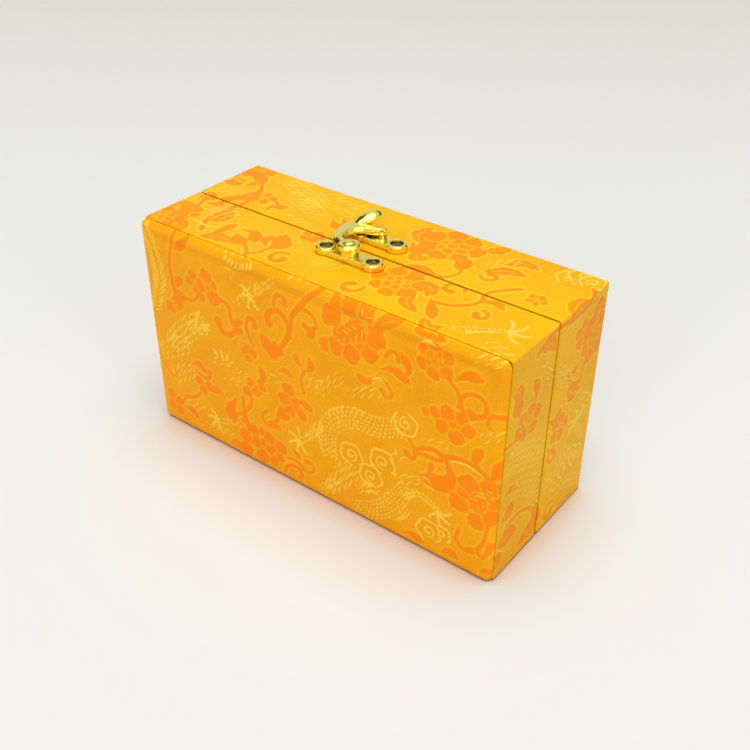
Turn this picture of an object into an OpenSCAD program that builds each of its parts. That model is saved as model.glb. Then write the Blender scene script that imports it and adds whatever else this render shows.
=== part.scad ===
// Chinese brocade box: a clamshell case of greyboard boards wrapped in silk
// brocade, with a padded front panel, a satin-lined inside, a cloth hinge and a
// cast brass swing-hook clasp. It stands on its hinge side. Millimetres.
// X runs along the hinge, -Y faces the padded lid panel, +Z rises to the clasp.

/* [Box] */
// Length along the hinge
box_l = 150; // [120:1:200]
// Height from the hinge side to the clasp side, without the clasp
box_h = 85; // [70:1:120]
// Depth of the lid's walls, from the padded panel to the rim
lid_wall_d = 26.6; // [24:0.1:40]
// Depth of the base, from its rim to its back
base_wall_d = 31.2; // [26:0.1:50]
// Gap between the two closed rims
split_gap = 0.3; // [0.2:0.05:0.6]

/* [Boards and cloth] */
// Thickness of the greyboard walls
wall_t = 2; // [1.5:0.1:3]
// Thickness of the lid's top board and the base's back board
floor_t = 2; // [1.5:0.1:3]
// Thickness of the brocade with its glue
cloth_t = 0.4; // [0.3:0.05:0.6]
// Width of the brocade turned in over a rim or an edge
turn_in = 8; // [5:0.5:12]
// Thickness of the satin-covered lining card
lining_t = 0.9; // [0.7:0.1:1.5]
// Distance from a rim down to the lining's edge
lining_drop = 1.5; // [0.5:0.1:4]

/* [Padded panel] */
// Thickness of the panel at its edge
panel_edge_t = 2.3; // [2.1:0.1:3.5]
// How far the panel's middle swells past its edge
panel_crown = 0.6; // [0.2:0.1:2]
// Width of the rounded shoulder along the panel's edge
shoulder_w = 3.2; // [2.4:0.1:5]
// Thickness of the board inside the panel
panel_board_t = 1.2; // [0.8:0.1:1.6]
// Corner radius of the panel
panel_r = 2.6; // [1.5:0.1:5]

/* [Inner cushions] */
// Thickness of a satin cushion at its middle
cushion_t = 6; // [3:0.5:10]
// Thickness of a cushion at its edge
cushion_edge_t = 3.2; // [2:0.1:3.5]
// How far a cushion's sides draw in between its corners
cushion_pull = 1.2; // [0:0.1:3]
// Gap between a cushion and the lining
cushion_gap = 0.3; // [0.2:0.05:0.6]

/* [Clasp plates] */
// Shift of the clasp from the middle of the length
clasp_x = 1.7; // [-20:0.1:20]
// Distance from the lid's rim to the pivot
pivot_back = 7.75; // [7:0.05:10]
// Distance from the base's rim to the middle of the catch plate
catch_back = 6.95; // [6:0.05:9]
// Shift of the catch plate along the length, from the pivot
catch_shift = 0.9; // [-0.5:0.1:1.5]
// Shift of the catch stud along its plate
stud_shift = 1.5; // [0.8:0.1:2]
// Shift of the catch stud across its plate, towards the rim
stud_forward = 0.7; // [0:0.1:1]
// Distance between the hook plate's screws
hook_plate_span = 19.2; // [17:0.1:24]
// Distance between the catch plate's screws
catch_plate_span = 14.3; // [13:0.1:20]
// Radius of a plate's round eyes
eye_r = 3.6; // [3.4:0.1:4.4]
// Width of a plate between its eyes
plate_w = 6; // [5.4:0.1:6.8]
// Thickness of a plate between its eyes
plate_t = 2.1; // [1.8:0.1:3]
// Height of the raised rim round an eye
eye_rim_h = 0.3; // [0.2:0.05:0.5]

/* [Clasp hook] */
// Outer radius of the hook's ring
ring_r = 3.8; // [3.2:0.1:4.2]
// Thickness of the hook's ring
ring_t = 2; // [1.8:0.1:2.6]
// Height of the boss under the ring, above the plate's eyes
boss_h = 1.5; // [0.8:0.1:1.8]
// Radius of the rivet's shank
rivet_r = 1.1; // [0.9:0.05:1.4]
// Radius of the catch stud
stud_r = 1; // [0.9:0.05:1.4]
// Width of the hook's tip behind the stud
tip_w = 1.7; // [1.5:0.1:2.4]
// Length of the hook's finger leaf
leaf_l = 11.5; // [10:0.5:16]
// Half width of the finger leaf
leaf_w = 3.3; // [2.4:0.1:3.6]
// Half height of the finger leaf
leaf_h = 1.95; // [1.4:0.05:2.2]

/* [Clasp screws] */
// Radius of a screw's shank
screw_r = 0.9; // [0.7:0.05:1.1]
// Radius of a screw's head
screw_head_r = 2; // [1.7:0.05:2.1]
// Height of a screw's head
screw_head_h = 0.75; // [0.5:0.05:0.9]

/* [Hidden] */

$fn = 64;
// Running clearance of a shaft in its bore, and of one flat part over another
run_gap = 0.05;
// Overshoot of a cut past the face that it opens
cut = 1;
// Play between a glued board or foam and the cloth round it
glue_gap = 0.05;

// Stations along the depth, from the panel's crown at the front to the back
depth = panel_crown + panel_edge_t + lid_wall_d + split_gap + base_wall_d;
front_y = -depth / 2;
panel_back_y = front_y + panel_crown + panel_edge_t;
top_board_y = panel_back_y + cloth_t;
lid_floor_y = top_board_y + floor_t;
lid_rim_y = panel_back_y + lid_wall_d;
base_rim_y = lid_rim_y + split_gap;
back_y = depth / 2;
back_board_y = back_y - cloth_t - floor_t;

// Insets from the box's outer faces
board_in = cloth_t;
cavity_in = cloth_t + wall_t;
lining_in = cavity_in + lining_t;

// Clasp levels above the box's clasp side
eye_top = plate_t + eye_rim_h;
boss_top = eye_top + boss_h;
hook_low = boss_top + run_gap;
ring_top = hook_low + ring_t;
eye_floor = 0.6 * plate_t;
// The hook's arm drops from the ring to this underside, just clear of the eyes
arm_low = eye_top + 0.25;
stud_top = arm_low + ring_t;

// Clasp stations in plan; the stud's place is measured from the pivot
pivot_y = lid_rim_y - pivot_back;
catch_y = base_rim_y + catch_back;
stud_off = [catch_shift + stud_shift, catch_y - stud_forward - pivot_y];

// A block inset by e from the box's four outer faces, from depth y0 to y1
module block(e, y0, y1) {
  translate([-box_l / 2 + e, y0, e])
    cube([box_l - 2 * e, y1 - y0, box_h - 2 * e]);
}

// A four-sided ring between two insets
module ring_block(e_out, e_in, y0, y1) {
  difference() {
    block(e_out, y0, y1);
    block(e_in, y0 - cut, y1 + cut);
  }
}

// The flat cloth on the hinge side
module spine_slab(y0, y1) {
  translate([-box_l / 2, y0, 0]) cube([box_l, y1 - y0, cloth_t]);
}

// Places what it holds on the clasp side, at the pivot or on the catch plate
module at_pivot() { translate([clasp_x, pivot_y, box_h]) children(); }
module at_catch() { translate([clasp_x + catch_shift, catch_y, box_h]) children(); }

// Rounded rectangle as one ring of points at height y. The half sizes are a and
// b, the corner radius is r, and the sides draw in by pull at their middles.
corner_steps = 5;
side_steps = 4;
function bow(s) = 1 - (2 * s - 1) * (2 * s - 1);
function corner_pts(a, b, r, k) = [
  for (i = [0:corner_steps])
    let (t = 90 * (k + i / corner_steps),
         sx = (k == 0 || k == 3) ? 1 : -1, sz = k < 2 ? 1 : -1)
    [sx * (a - r) + r * cos(t), sz * (b - r) + r * sin(t)]
];
function side_pts(a, b, r, pull, k) = [
  for (i = [1:side_steps])
    let (s = i / (side_steps + 1), p = pull * bow(s),
         x = (a - r) * (1 - 2 * s), z = (b - r) * (1 - 2 * s))
    k == 0 ? [x, b - p] : k == 1 ? [-a + p, z] : k == 2 ? [-x, -b + p] : [a - p, -z]
];
function ring_pts(a, b, r, pull, y) = let (rr = min(r, 0.9 * min(a, b))) [
  for (k = [0:3])
    for (p = concat(corner_pts(a, b, rr, k), pull > 0 ? side_pts(a, b, rr, pull, k) : []))
      [p[0], y, p[1]]
];

// Closed skin through a list of rings of n points, with the two ends capped
function skin_faces(n, m) = concat(
  [[for (i = [n - 1:-1:0]) i]],
  [for (j = [0:m - 2], i = [0:n - 1])
    let (a = j * n + i, b = j * n + (i + 1) % n)
    each [[a, b, b + n], [a, b + n, a + n]]],
  [[for (i = [0:n - 1]) (m - 1) * n + i]]
);
module skin(rings) {
  polyhedron(
    points = [for (r = rings) each r],
    faces = skin_faces(len(rings[0]), len(rings))
  );
}

// Padded panel. Its height over the back plane rises round the shoulder, dips
// a little inside it and swells to the crown.
panel_side_h = 0.4 * panel_edge_t;
panel_edge_round = 0.3;
panel_dip = 0.12;
dip_inset = 1.8 * shoulder_w;
crown_inset = 0.42 * box_h;
function shoulder_rise(e) = sqrt(1 - pow(1 - min(e / shoulder_w, 1), 2));
function crown_rise(e) = e <= shoulder_w ? 0
  : sin(90 * (e - shoulder_w) / (crown_inset - shoulder_w));
function dip_fall(e) = e <= shoulder_w ? 0
  : exp(-pow((e - dip_inset) / shoulder_w, 2));
function panel_h(e) = panel_side_h + (panel_edge_t - panel_side_h) * shoulder_rise(e)
  + panel_crown * crown_rise(e) - panel_dip * dip_fall(e);
panel_insets = [
  0.02, 0.08, 0.2, 0.4, 0.65, 1, 1.6, 2.4, 3.3, 5.5, 8.5, 14, 22, crown_inset - 0.1
];
// One ring of the panel, e in from its edge and h over its back plane
function panel_ring(e, h) = ring_pts(
  box_l / 2 - e, box_h / 2 - e, panel_r + 0.15 * e, 0, panel_back_y - h
);

module panel_cover() {
  // outer skin, then inner skin, joined round the turned-in edge at the back
  outer = concat(
    [panel_ring(turn_in, 0), panel_ring(panel_edge_round, 0),
     panel_ring(0, panel_edge_round)],
    [for (e = panel_insets) panel_ring(e, panel_h(e))]
  );
  inner = concat(
    [for (i = [len(panel_insets) - 1:-1:0])
      panel_ring(panel_insets[i] + cloth_t, panel_h(panel_insets[i]) - cloth_t)],
    [panel_ring(cloth_t, cloth_t), panel_ring(turn_in, cloth_t)]
  );
  rings = concat(outer, inner);
  n = len(rings[0]);
  m = len(rings);
  mo = len(outer);
  color("orange") translate([0, 0, box_h / 2]) polyhedron(
    points = [for (r = rings) each r],
    faces = concat(
      [for (j = [0:m - 1], i = [0:n - 1])
        let (a = j * n + i, b = j * n + (i + 1) % n,
             c = ((j + 1) % m) * n + i, d = ((j + 1) % m) * n + (i + 1) % n)
        if (j != mo - 1) each [[a, b, d], [a, d, c]]],
      [[for (i = [0:n - 1]) (mo - 1) * n + i]],
      [[for (i = [n - 1:-1:0]) mo * n + i]]
    )
  );
}

// Height of the panel board's front face over the panel's back plane
board_front_h = cloth_t + panel_board_t;
foam_insets = [for (e = panel_insets)
  if (panel_h(e) - cloth_t - glue_gap > board_front_h + 0.1) e];

module panel_foam() {
  skin_in = cloth_t + glue_gap;
  color("ivory") translate([0, 0, box_h / 2]) skin(concat(
    [panel_ring(foam_insets[0] + skin_in, board_front_h)],
    [for (e = foam_insets) panel_ring(e + skin_in, panel_h(e) - skin_in)]
  ));
}

module panel_board() {
  e = foam_insets[0] + cloth_t + glue_gap;
  r = panel_r;
  color("tan") translate([0, panel_back_y - cloth_t, box_h / 2]) rotate([90, 0, 0])
    linear_extrude(panel_board_t) union() {
      square([box_l - 2 * e, box_h - 2 * e - 2 * r], center = true);
      square([box_l - 2 * e - 2 * r, box_h - 2 * e], center = true);
      for (sx = [-1, 1], sz = [-1, 1])
        translate([sx * (box_l / 2 - e - r), sz * (box_h / 2 - e - r)]) circle(r);
    }
}

// Greyboard trays: the long walls run the full length, the short ones between
module clasp_wall(y0, y1, holes_x, holes_y) {
  difference() {
    translate([-box_l / 2 + board_in, y0, box_h - board_in - wall_t])
      cube([box_l - 2 * board_in, y1 - y0, wall_t]);
    screw_bores(holes_x, holes_y);
  }
}
module hinge_wall(y0, y1) {
  translate([-box_l / 2 + board_in, y0, board_in])
    cube([box_l - 2 * board_in, y1 - y0, wall_t]);
}
module end_wall(side, y0, y1) {
  x = side * (box_l / 2 - board_in - wall_t / 2);
  translate([x - wall_t / 2, y0, cavity_in])
    cube([wall_t, y1 - y0, box_h - 2 * cavity_in]);
}

// Bores through the cloth and the wall for a plate's two screws
module screw_bores(span, at) {
  for (s = [-1, 1])
    translate([at[0] + s * span / 2, at[1], box_h - cavity_in - cut])
      cylinder(r = screw_r + run_gap, h = cavity_in + 2 * cut);
}
hook_plate_at = [clasp_x, pivot_y];
catch_plate_at = [clasp_x + catch_shift, catch_y];

module lid_top_board() { color("tan") block(board_in, top_board_y, lid_floor_y); }
module lid_clasp_wall() {
  color("tan")
    clasp_wall(lid_floor_y, lid_rim_y - cloth_t, hook_plate_span, hook_plate_at);
}
module lid_hinge_wall() { color("tan") hinge_wall(lid_floor_y, lid_rim_y - cloth_t); }
module lid_left_wall() { color("tan") end_wall(-1, lid_floor_y, lid_rim_y - cloth_t); }
module lid_right_wall() { color("tan") end_wall(1, lid_floor_y, lid_rim_y - cloth_t); }

module base_back_board() {
  color("tan") block(board_in, back_board_y, back_y - cloth_t);
}
module base_clasp_wall() {
  color("tan")
    clasp_wall(base_rim_y + cloth_t, back_board_y, catch_plate_span, catch_plate_at);
}
module base_hinge_wall() { color("tan") hinge_wall(base_rim_y + cloth_t, back_board_y); }
module base_left_wall() { color("tan") end_wall(-1, base_rim_y + cloth_t, back_board_y); }
module base_right_wall() { color("tan") end_wall(1, base_rim_y + cloth_t, back_board_y); }

// Brocade over the lid's walls: turned under the padded panel at the front and
// over the rim at the back, with the hinge side left to the spine cloth
module lid_wrap() {
  color("gold") difference() {
    union() {
      difference() {
        block(0, panel_back_y, lid_rim_y);
        block(board_in, top_board_y, lid_rim_y - cloth_t);
      }
      ring_block(cavity_in, cavity_in + cloth_t, lid_rim_y - turn_in, lid_rim_y);
    }
    block(cavity_in + cloth_t, lid_rim_y - 2 * cloth_t, lid_rim_y + cut);
    block(turn_in, panel_back_y - cut, top_board_y + cloth_t);
    spine_slab(panel_back_y - cut, lid_rim_y + cut);
    screw_bores(hook_plate_span, hook_plate_at);
  }
}
module lid_spine_cloth() { color("gold") spine_slab(panel_back_y, lid_rim_y); }

// Brocade over the base's walls and back, turned over the rim
module base_wrap() {
  color("gold") difference() {
    union() {
      difference() {
        block(0, base_rim_y, back_y);
        block(board_in, base_rim_y + cloth_t, back_y - cloth_t);
      }
      ring_block(cavity_in, cavity_in + cloth_t, base_rim_y, base_rim_y + turn_in);
    }
    block(cavity_in + cloth_t, base_rim_y - cut, base_rim_y + 2 * cloth_t);
    spine_slab(base_rim_y - cut, back_y + cut);
    screw_bores(catch_plate_span, catch_plate_at);
  }
}
module base_spine_cloth() { color("gold") spine_slab(base_rim_y, back_y); }

// Satin-covered lining card, rebated over the turned-in brocade
module lid_lining() {
  color("lemonchiffon") difference() {
    ring_block(cavity_in, lining_in, lid_floor_y, lid_rim_y - lining_drop);
    ring_block(cavity_in - cut, cavity_in + cloth_t, lid_rim_y - turn_in, lid_rim_y);
  }
}
module base_lining() {
  color("lemonchiffon") difference() {
    ring_block(cavity_in, lining_in, base_rim_y + lining_drop, back_board_y);
    ring_block(cavity_in - cut, cavity_in + cloth_t, base_rim_y, base_rim_y + turn_in);
  }
}

// Satin cushion on the floor at y, swelling in the direction dir along Y. Its
// wall leans out from the foot, rounds over a band and then rises to the middle.
cushion_r = 4;
cushion_foot = 0.6;
cushion_wall_h = 0.3 * cushion_edge_t;
cushion_band = 4;
band_steps = 4;
rise_steps = 4;
module cushion(y, dir) {
  e0 = lining_in + cushion_gap;
  span = 0.4 * box_h - e0 - cushion_band;
  ring = function (e, h) ring_pts(
    box_l / 2 - e0 - e, box_h / 2 - e0 - e, cushion_r + 0.4 * e,
    cushion_pull, y + dir * h
  );
  rings = concat(
    [ring(cushion_foot, 0), ring(0, cushion_wall_h)],
    [for (i = [1:band_steps]) let (t = i / band_steps)
      ring(cushion_band * t * t,
           cushion_wall_h + (cushion_edge_t - cushion_wall_h) * sqrt(1 - pow(1 - t, 2)))],
    [for (i = [1:rise_steps]) let (t = i / rise_steps)
      ring(cushion_band + span * t,
           cushion_edge_t + (cushion_t - cushion_edge_t) * sin(90 * t))]
  );
  ordered = dir < 0 ? rings : [for (i = [len(rings) - 1:-1:0]) rings[i]];
  color("khaki") translate([0, 0, box_h / 2]) skin(ordered);
}
module lid_cushion() { cushion(lid_floor_y, 1); }
module base_cushion() { cushion(back_board_y, -1); }

// Cast plate: a bar between two round eyes, its upper edges bevelled, with a
// sunk seat for a screw in each eye
plate_bevel = 0.4;
seat_gap = 0.3;
module bevelled_disc(r, h) {
  rotate_extrude() polygon([
    [0, 0], [r, 0], [r, h - plate_bevel], [r - plate_bevel, h], [0, h]
  ]);
}
module cast_plate(span) {
  w = plate_w / 2;
  difference() {
    union() {
      for (s = [-1, 1]) translate([s * span / 2, 0, 0]) bevelled_disc(eye_r, eye_top);
      rotate([90, 0, 90]) translate([0, 0, -span / 2]) linear_extrude(span) polygon([
        [-w, 0], [w, 0], [w, plate_t - plate_bevel], [w - plate_bevel, plate_t],
        [-w + plate_bevel, plate_t], [-w, plate_t - plate_bevel]
      ]);
    }
    for (s = [-1, 1]) translate([s * span / 2, 0, 0]) {
      translate([0, 0, eye_floor])
        cylinder(r = screw_head_r + seat_gap, h = eye_top);
      translate([0, 0, -cut]) cylinder(r = screw_r + run_gap, h = eye_top);
    }
  }
}

// Hook plate with the boss that the hook's ring turns on
boss_r = plate_w / 2 - 0.1;
module hook_plate() {
  color("goldenrod") at_pivot() difference() {
    union() {
      cast_plate(hook_plate_span);
      cylinder(r = boss_r, h = boss_top);
    }
    translate([0, 0, -cut]) cylinder(r = rivet_r + run_gap, h = boss_top + 2 * cut);
  }
}

// Catch plate with its stud, which spreads at the foot and rounds at the top
stud_foot = 0.4;
stud_round = 0.35;
module catch_plate() {
  color("goldenrod") at_catch() union() {
    cast_plate(catch_plate_span);
    translate([stud_shift, -stud_forward, 0]) rotate_extrude() polygon(concat(
      [[0, plate_t - plate_bevel], [stud_r + stud_foot, plate_t - plate_bevel],
       [stud_r, plate_t + stud_foot]],
      [for (t = [0:22.5:90])
        [stud_r - stud_round * (1 - cos(t)), stud_top - stud_round * (1 - sin(t))]],
      [[0, stud_top]]
    ));
  }
}

// Screw with a slotted dome head, down through the plate, the cloth and the wall
head_wall = 0.2;
slot_w = 0.45;
slot_d = 0.35;
module screw() {
  rotate_extrude() polygon(concat(
    [[0, -cavity_in], [screw_r, -cavity_in], [screw_r, eye_floor],
     [screw_head_r, eye_floor]],
    [for (t = [0:15:90])
      [screw_head_r * cos(t),
       eye_floor + head_wall + (screw_head_h - head_wall) * sin(t)]]
  ));
}
module screws(span) {
  color("dimgray") for (s = [-1, 1]) translate([s * span / 2, 0, 0]) difference() {
    screw();
    translate([-screw_head_r, -slot_w / 2, eye_floor + screw_head_h - slot_d])
      cube([2 * screw_head_r, slot_w, cut]);
  }
}
module hook_plate_screws() { at_pivot() screws(hook_plate_span); }
module catch_plate_screws() { at_catch() screws(catch_plate_span); }

// Domed rivet that holds the hook on its plate
rivet_head_r = rivet_r + 0.8;
rivet_head_h = 0.75;
module hook_rivet() {
  head_low = ring_top + run_gap;
  color("goldenrod") at_pivot() rotate_extrude() polygon(concat(
    [[0, 0], [rivet_r, 0], [rivet_r, head_low], [rivet_head_r, head_low]],
    [for (t = [0:15:90])
      [rivet_head_r * cos(t), head_low + head_wall + (rivet_head_h - head_wall) * sin(t)]]
  ));
}

// Swing hook, the clasp's main casting. Its crescent runs from the ring round
// the left of the stud to a tip behind it, and a wide flank falls to its left.
// A station gives the inner edge, the ridge and the outer edge in plan, then the
// ridge's and outer edge's heights over the underside as shares of the ring's
// thickness, then how far the underside has dropped from ring to arm. The bow's
// plan follows the stud's distance, and the tip's circle round the pivot clears
// the stud.
bow_k = norm(stud_off) / 14.5;
bow_stations = [
  for (s = [[[-0.2, 0.8], [-0.6, -0.8], [-1, -2.3], 0.9, 0.6, 0],
            [[-2.4, 1.5], [-3, -0.1], [-3.8, -1.7], 0.95, 0.52, 0],
            [[-4.2, 2.2], [-5.3, 1], [-6.6, -0.1], 0.98, 0.48, 0],
            [[-5.4, 3.6], [-6.8, 2.9], [-8.7, 2.2], 1, 0.46, 0.03],
            [[-6.1, 5.7], [-7.5, 5.6], [-10.3, 5], 1, 0.44, 0.08],
            [[-6.2, 7.9], [-7.6, 8.4], [-11.6, 8.3], 1, 0.42, 0.15],
            [[-5.7, 9.9], [-6.9, 10.9], [-12.2, 11.8], 1, 0.42, 0.25],
            [[-4.6, 11.5], [-5.6, 12.7], [-11.6, 15], 1.1, 0.55, 0.45],
            [[-3.1, 12.9], [-3.9, 14.1], [-8.2, 16.6], 1.18, 0.7, 0.7],
            [[-1.3, 14.1], [-1.9, 15.2], [-3.6, 16.9], 1.25, 1, 0.9]])
    [bow_k * s[0], bow_k * s[1], bow_k * s[2], s[3], s[4], s[5]]
];
tip_in = norm(stud_off) + stud_r + 0.1;
tip_turn = atan2(stud_off[0], stud_off[1]);
function round_pivot(t, r) = r * [sin(t), cos(t)];
// Turn from the stud's direction, inward shift, share of the tip's width, heights
tip_stations = [
  for (s = [[-7.5, 0.45, 1, 1.28, 1.1], [-3, 0, 1, 1.28, 1.12],
            [-0.5, 0, 0.78, 1.18, 1]])
    let (t = tip_turn + s[0])
    [round_pivot(t, tip_in - s[1]), round_pivot(t, tip_in + tip_w * s[2] / 2),
     round_pivot(t, tip_in + tip_w * s[2]), s[3], s[4], 1]
];
hook_stations = concat(bow_stations, tip_stations);

// Smooth curve through stations a, b, c and d, from b at t = 0 to c at t = 1
function through(a, b, c, d, t) = 0.5 * (2 * b + (c - a) * t
  + (2 * a - 5 * b + 4 * c - d) * t * t + (3 * b - a - 3 * c + d) * t * t * t);
hook_steps = 4;
function station(list, i) = list[max(0, min(len(list) - 1, i))];
function smooth_stations(list) = [
  for (i = [0:len(list) - 2], j = [0:(i == len(list) - 2 ? hook_steps : hook_steps - 1)])
    [for (f = [0:len(list[0]) - 1])
      through(station(list, i - 1)[f], station(list, i)[f],
              station(list, i + 1)[f], station(list, i + 2)[f], j / hook_steps)]
];
function mix(a, b, t) = a + (b - a) * t;
function lift(p, z) = [p[0], p[1], z];
// Section of the crescent: upright inner face, flat ridge, long outer bevel
ridge_round = 0.35;
edge_round = 0.25;
function bow_section(s) = let (
    inner = s[0], ridge = s[1], outer = s[2], zl = mix(hook_low, arm_low, s[5]),
    zt = zl + s[3] * ring_t, ze = zl + s[4] * ring_t)
  [
    lift(inner, zl), lift(inner, zt - ridge_round), lift(mix(inner, ridge, 0.3), zt),
    lift(ridge, zt), lift(mix(ridge, outer, 0.5), mix(zt, ze, 0.4)),
    lift(mix(ridge, outer, 0.9), mix(zt, ze, 0.85)), lift(outer, ze - edge_round),
    lift(outer, zl + edge_round), lift(mix(outer, inner, 0.06), zl)
  ];

// Finger leaf: a tongue carried along a line that rises off the flank, widest
// towards its blunt end
leaf_root = bow_k * [-8.3, 13.4];
leaf_heading = 86;
leaf_bend = -26;
leaf_low = arm_low + 1.7;
leaf_rise = 1.6;
leaf_n = 16;
leaf_steps = 14;
function leaf_at(t) = leaf_root + leaf_l * t
  * [cos(leaf_heading + leaf_bend * t / 2), sin(leaf_heading + leaf_bend * t / 2)];
function leaf_swell(t) = pow(sin(180 * pow(t, 1.3)), 0.55);
function leaf_section(t) = let (
    c = leaf_at(t), turn = leaf_heading + leaf_bend * t,
    side = [sin(turn), -cos(turn)], z = leaf_low + leaf_rise * sin(90 * t))
  [for (i = [0:leaf_n - 1]) let (q = 360 * i / leaf_n, k = leaf_swell(t))
    lift(c + side * leaf_w * k * cos(q), z + leaf_h * k * sin(q))];

ring_round = 1;
ring_foot = 0.3;
module hook() {
  color("gold") at_pivot() difference() {
    union() {
      rotate_extrude() polygon(concat(
        [[0, hook_low], [ring_r - ring_foot, hook_low], [ring_r, hook_low + ring_foot]],
        [for (t = [0:15:90])
          [ring_r - ring_round * (1 - cos(t)), ring_top - ring_round * (1 - sin(t))]],
        [[0, ring_top]]
      ));
      skin([for (s = smooth_stations(hook_stations)) bow_section(s)]);
      skin([for (i = [0:leaf_steps])
        leaf_section(0.03 + 0.96 * (1 - cos(180 * i / leaf_steps)) / 2)]);
    }
    translate([0, 0, hook_low - cut]) cylinder(r = rivet_r + run_gap, h = ring_t + 2 * cut);
  }
}

panel_cover();
panel_foam();
panel_board();
lid_top_board();
lid_clasp_wall();
lid_hinge_wall();
lid_left_wall();
lid_right_wall();
lid_wrap();
lid_spine_cloth();
lid_lining();
lid_cushion();
hook_plate();
hook_plate_screws();
hook_rivet();
hook();
base_back_board();
base_clasp_wall();
base_hinge_wall();
base_left_wall();
base_right_wall();
base_wrap();
base_spine_cloth();
base_lining();
base_cushion();
catch_plate();
catch_plate_screws();
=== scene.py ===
"""Looks of a Chinese brocade box with a padded front, a cloth hinge and a cast brass clasp.

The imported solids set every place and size. The cloth, the satin, the wadding and the swing
hook are made again here as dense numpy surfaces. The brocade's figures are drawn once, in
millimetres of cloth, and every point of the cloth carries its distance to the nearest one.
"""

import logging
import math
from dataclasses import dataclass, field
from enum import Enum
from typing import Callable, Iterator, Sequence

import bpy
import numpy as np
from mathutils import Matrix, Vector


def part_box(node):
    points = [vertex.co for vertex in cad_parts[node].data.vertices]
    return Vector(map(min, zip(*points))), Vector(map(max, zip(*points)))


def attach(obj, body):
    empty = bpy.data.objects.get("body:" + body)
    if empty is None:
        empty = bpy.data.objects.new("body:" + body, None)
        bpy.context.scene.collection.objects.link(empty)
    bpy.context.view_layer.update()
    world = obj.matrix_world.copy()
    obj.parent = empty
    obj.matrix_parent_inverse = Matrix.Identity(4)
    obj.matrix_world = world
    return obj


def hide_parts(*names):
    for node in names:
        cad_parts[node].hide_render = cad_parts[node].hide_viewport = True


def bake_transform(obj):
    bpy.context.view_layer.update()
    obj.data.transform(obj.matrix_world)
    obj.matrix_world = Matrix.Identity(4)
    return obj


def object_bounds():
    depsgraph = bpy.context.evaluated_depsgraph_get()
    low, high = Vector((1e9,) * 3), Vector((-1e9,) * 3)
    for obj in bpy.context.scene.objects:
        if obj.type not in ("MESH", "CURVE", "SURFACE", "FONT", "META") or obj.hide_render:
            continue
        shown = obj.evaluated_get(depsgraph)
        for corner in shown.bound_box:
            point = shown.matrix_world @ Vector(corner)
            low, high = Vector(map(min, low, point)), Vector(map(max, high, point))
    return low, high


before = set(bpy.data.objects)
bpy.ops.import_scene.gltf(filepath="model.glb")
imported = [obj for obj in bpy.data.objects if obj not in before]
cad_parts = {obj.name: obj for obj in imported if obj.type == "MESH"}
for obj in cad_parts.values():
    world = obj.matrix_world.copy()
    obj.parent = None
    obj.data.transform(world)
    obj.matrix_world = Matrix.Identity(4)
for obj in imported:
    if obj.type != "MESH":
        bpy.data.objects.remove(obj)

MM = 0.001
CAD_BOX = [list(corner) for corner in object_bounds()]
COVER_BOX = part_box("panel_cover")
LENGTH, HEIGHT = (round((COVER_BOX[1][k] - COVER_BOX[0][k]) / MM, 3) for k in (0, 2))
FRONT_Y = round(CAD_BOX[0][1] / MM, 3)
DEPTH = round((CAD_BOX[1][1] - CAD_BOX[0][1]) / MM, 3)
WAY_TO_HINGE = 2 * HEIGHT + LENGTH
LEFT_LIFT = 22.0
Object, Material = bpy.types.Object, bpy.types.Material
Array = np.ndarray
Point = tuple[float, float]
Triple = tuple[float, float, float]
OUTLINE_ROOM = 2.0
NO_INK = -3.0
FAINT = 0.0
log = logging.getLogger("brocade_box")


class Layer(Enum):
    """The two sets of threads that draw on the brocade's ground."""

    FIGURE = "figure"
    PALE = "pale"


class Taper(Enum):
    """How a stroke's width runs from its start to its end."""

    EVEN = "even"
    TIP = "tip"
    BOTH = "both"
    DROP = "drop"
    CLUB = "club"


def smooth_line(points: Sequence[Point], per_span: int = 7) -> Array:
    """Curve through points, each span a cubic that uses the points on either side.

    Args:
        points: the points that the curve passes through.
        per_span: samples in each span.

    Returns:
        The samples, as (n, k).
    """
    p = np.asarray(points, float)
    a = np.vstack([2 * p[0] - p[1], p, 2 * p[-1] - p[-2]])
    t = np.linspace(0, 1, per_span, endpoint=False)[None, :, None]
    w, x, y, z = a[:-3, None], a[1:-2, None], a[2:-1, None], a[3:, None]
    spans = 0.5 * (
        2 * x
        + (y - w) * t
        + (2 * w - 5 * x + 4 * y - z) * t**2
        + (3 * x - w - 3 * y + z) * t**3
    )
    return np.vstack([spans.reshape(-1, p.shape[1]), p[-1:]])


def nearest(curve: Array, p: Array) -> tuple[Array, Array, Array, float]:
    """Where each point lies beside a line of short straight pieces.

    Each point drops a perpendicular on every piece, kept within the piece, and the shortest wins.

    Args:
        curve: the line's points, (m, 2).
        p: the points asked about, (n, 2).

    Returns:
        Distance, share of the line's length from 0 to 1, signed side offset, and the length.
    """
    a, d = curve[:-1], np.diff(curve, axis=0)
    size = np.maximum(np.hypot(d[:, 0], d[:, 1]), 1e-9)
    rel = p[:, None, :] - a[None]
    k = np.clip((rel * d).sum(2) / size**2, 0, 1)
    gap = rel - k[..., None] * d
    dist = np.hypot(gap[..., 0], gap[..., 1])
    i = dist.argmin(1)
    row = np.arange(len(p))
    start = np.concatenate([[0], np.cumsum(size)])
    side = (d[i, 0] * gap[row, i, 1] - d[i, 1] * gap[row, i, 0]) / size[i]
    return dist[row, i], (start[i] + k[row, i] * size[i]) / start[-1], side, float(start[-1])


def box_round(points: Sequence | Array, room: float) -> tuple[Array, Array]:
    """Lowest and highest corner of the points' box, with room on every side."""
    p = np.asarray(points, float)
    return p.min(0) - room, p.max(0) + room


def box_round_discs(discs: Sequence[Sequence[float]]) -> tuple[Array, Array]:
    """The box round discs, each a centre and a radius, with the outline's room."""
    d = np.asarray(discs, float)
    ends = np.vstack([d[:, :2] - d[:, 2:3], d[:, :2] + d[:, 2:3]])
    return box_round(ends, OUTLINE_ROOM)


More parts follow.
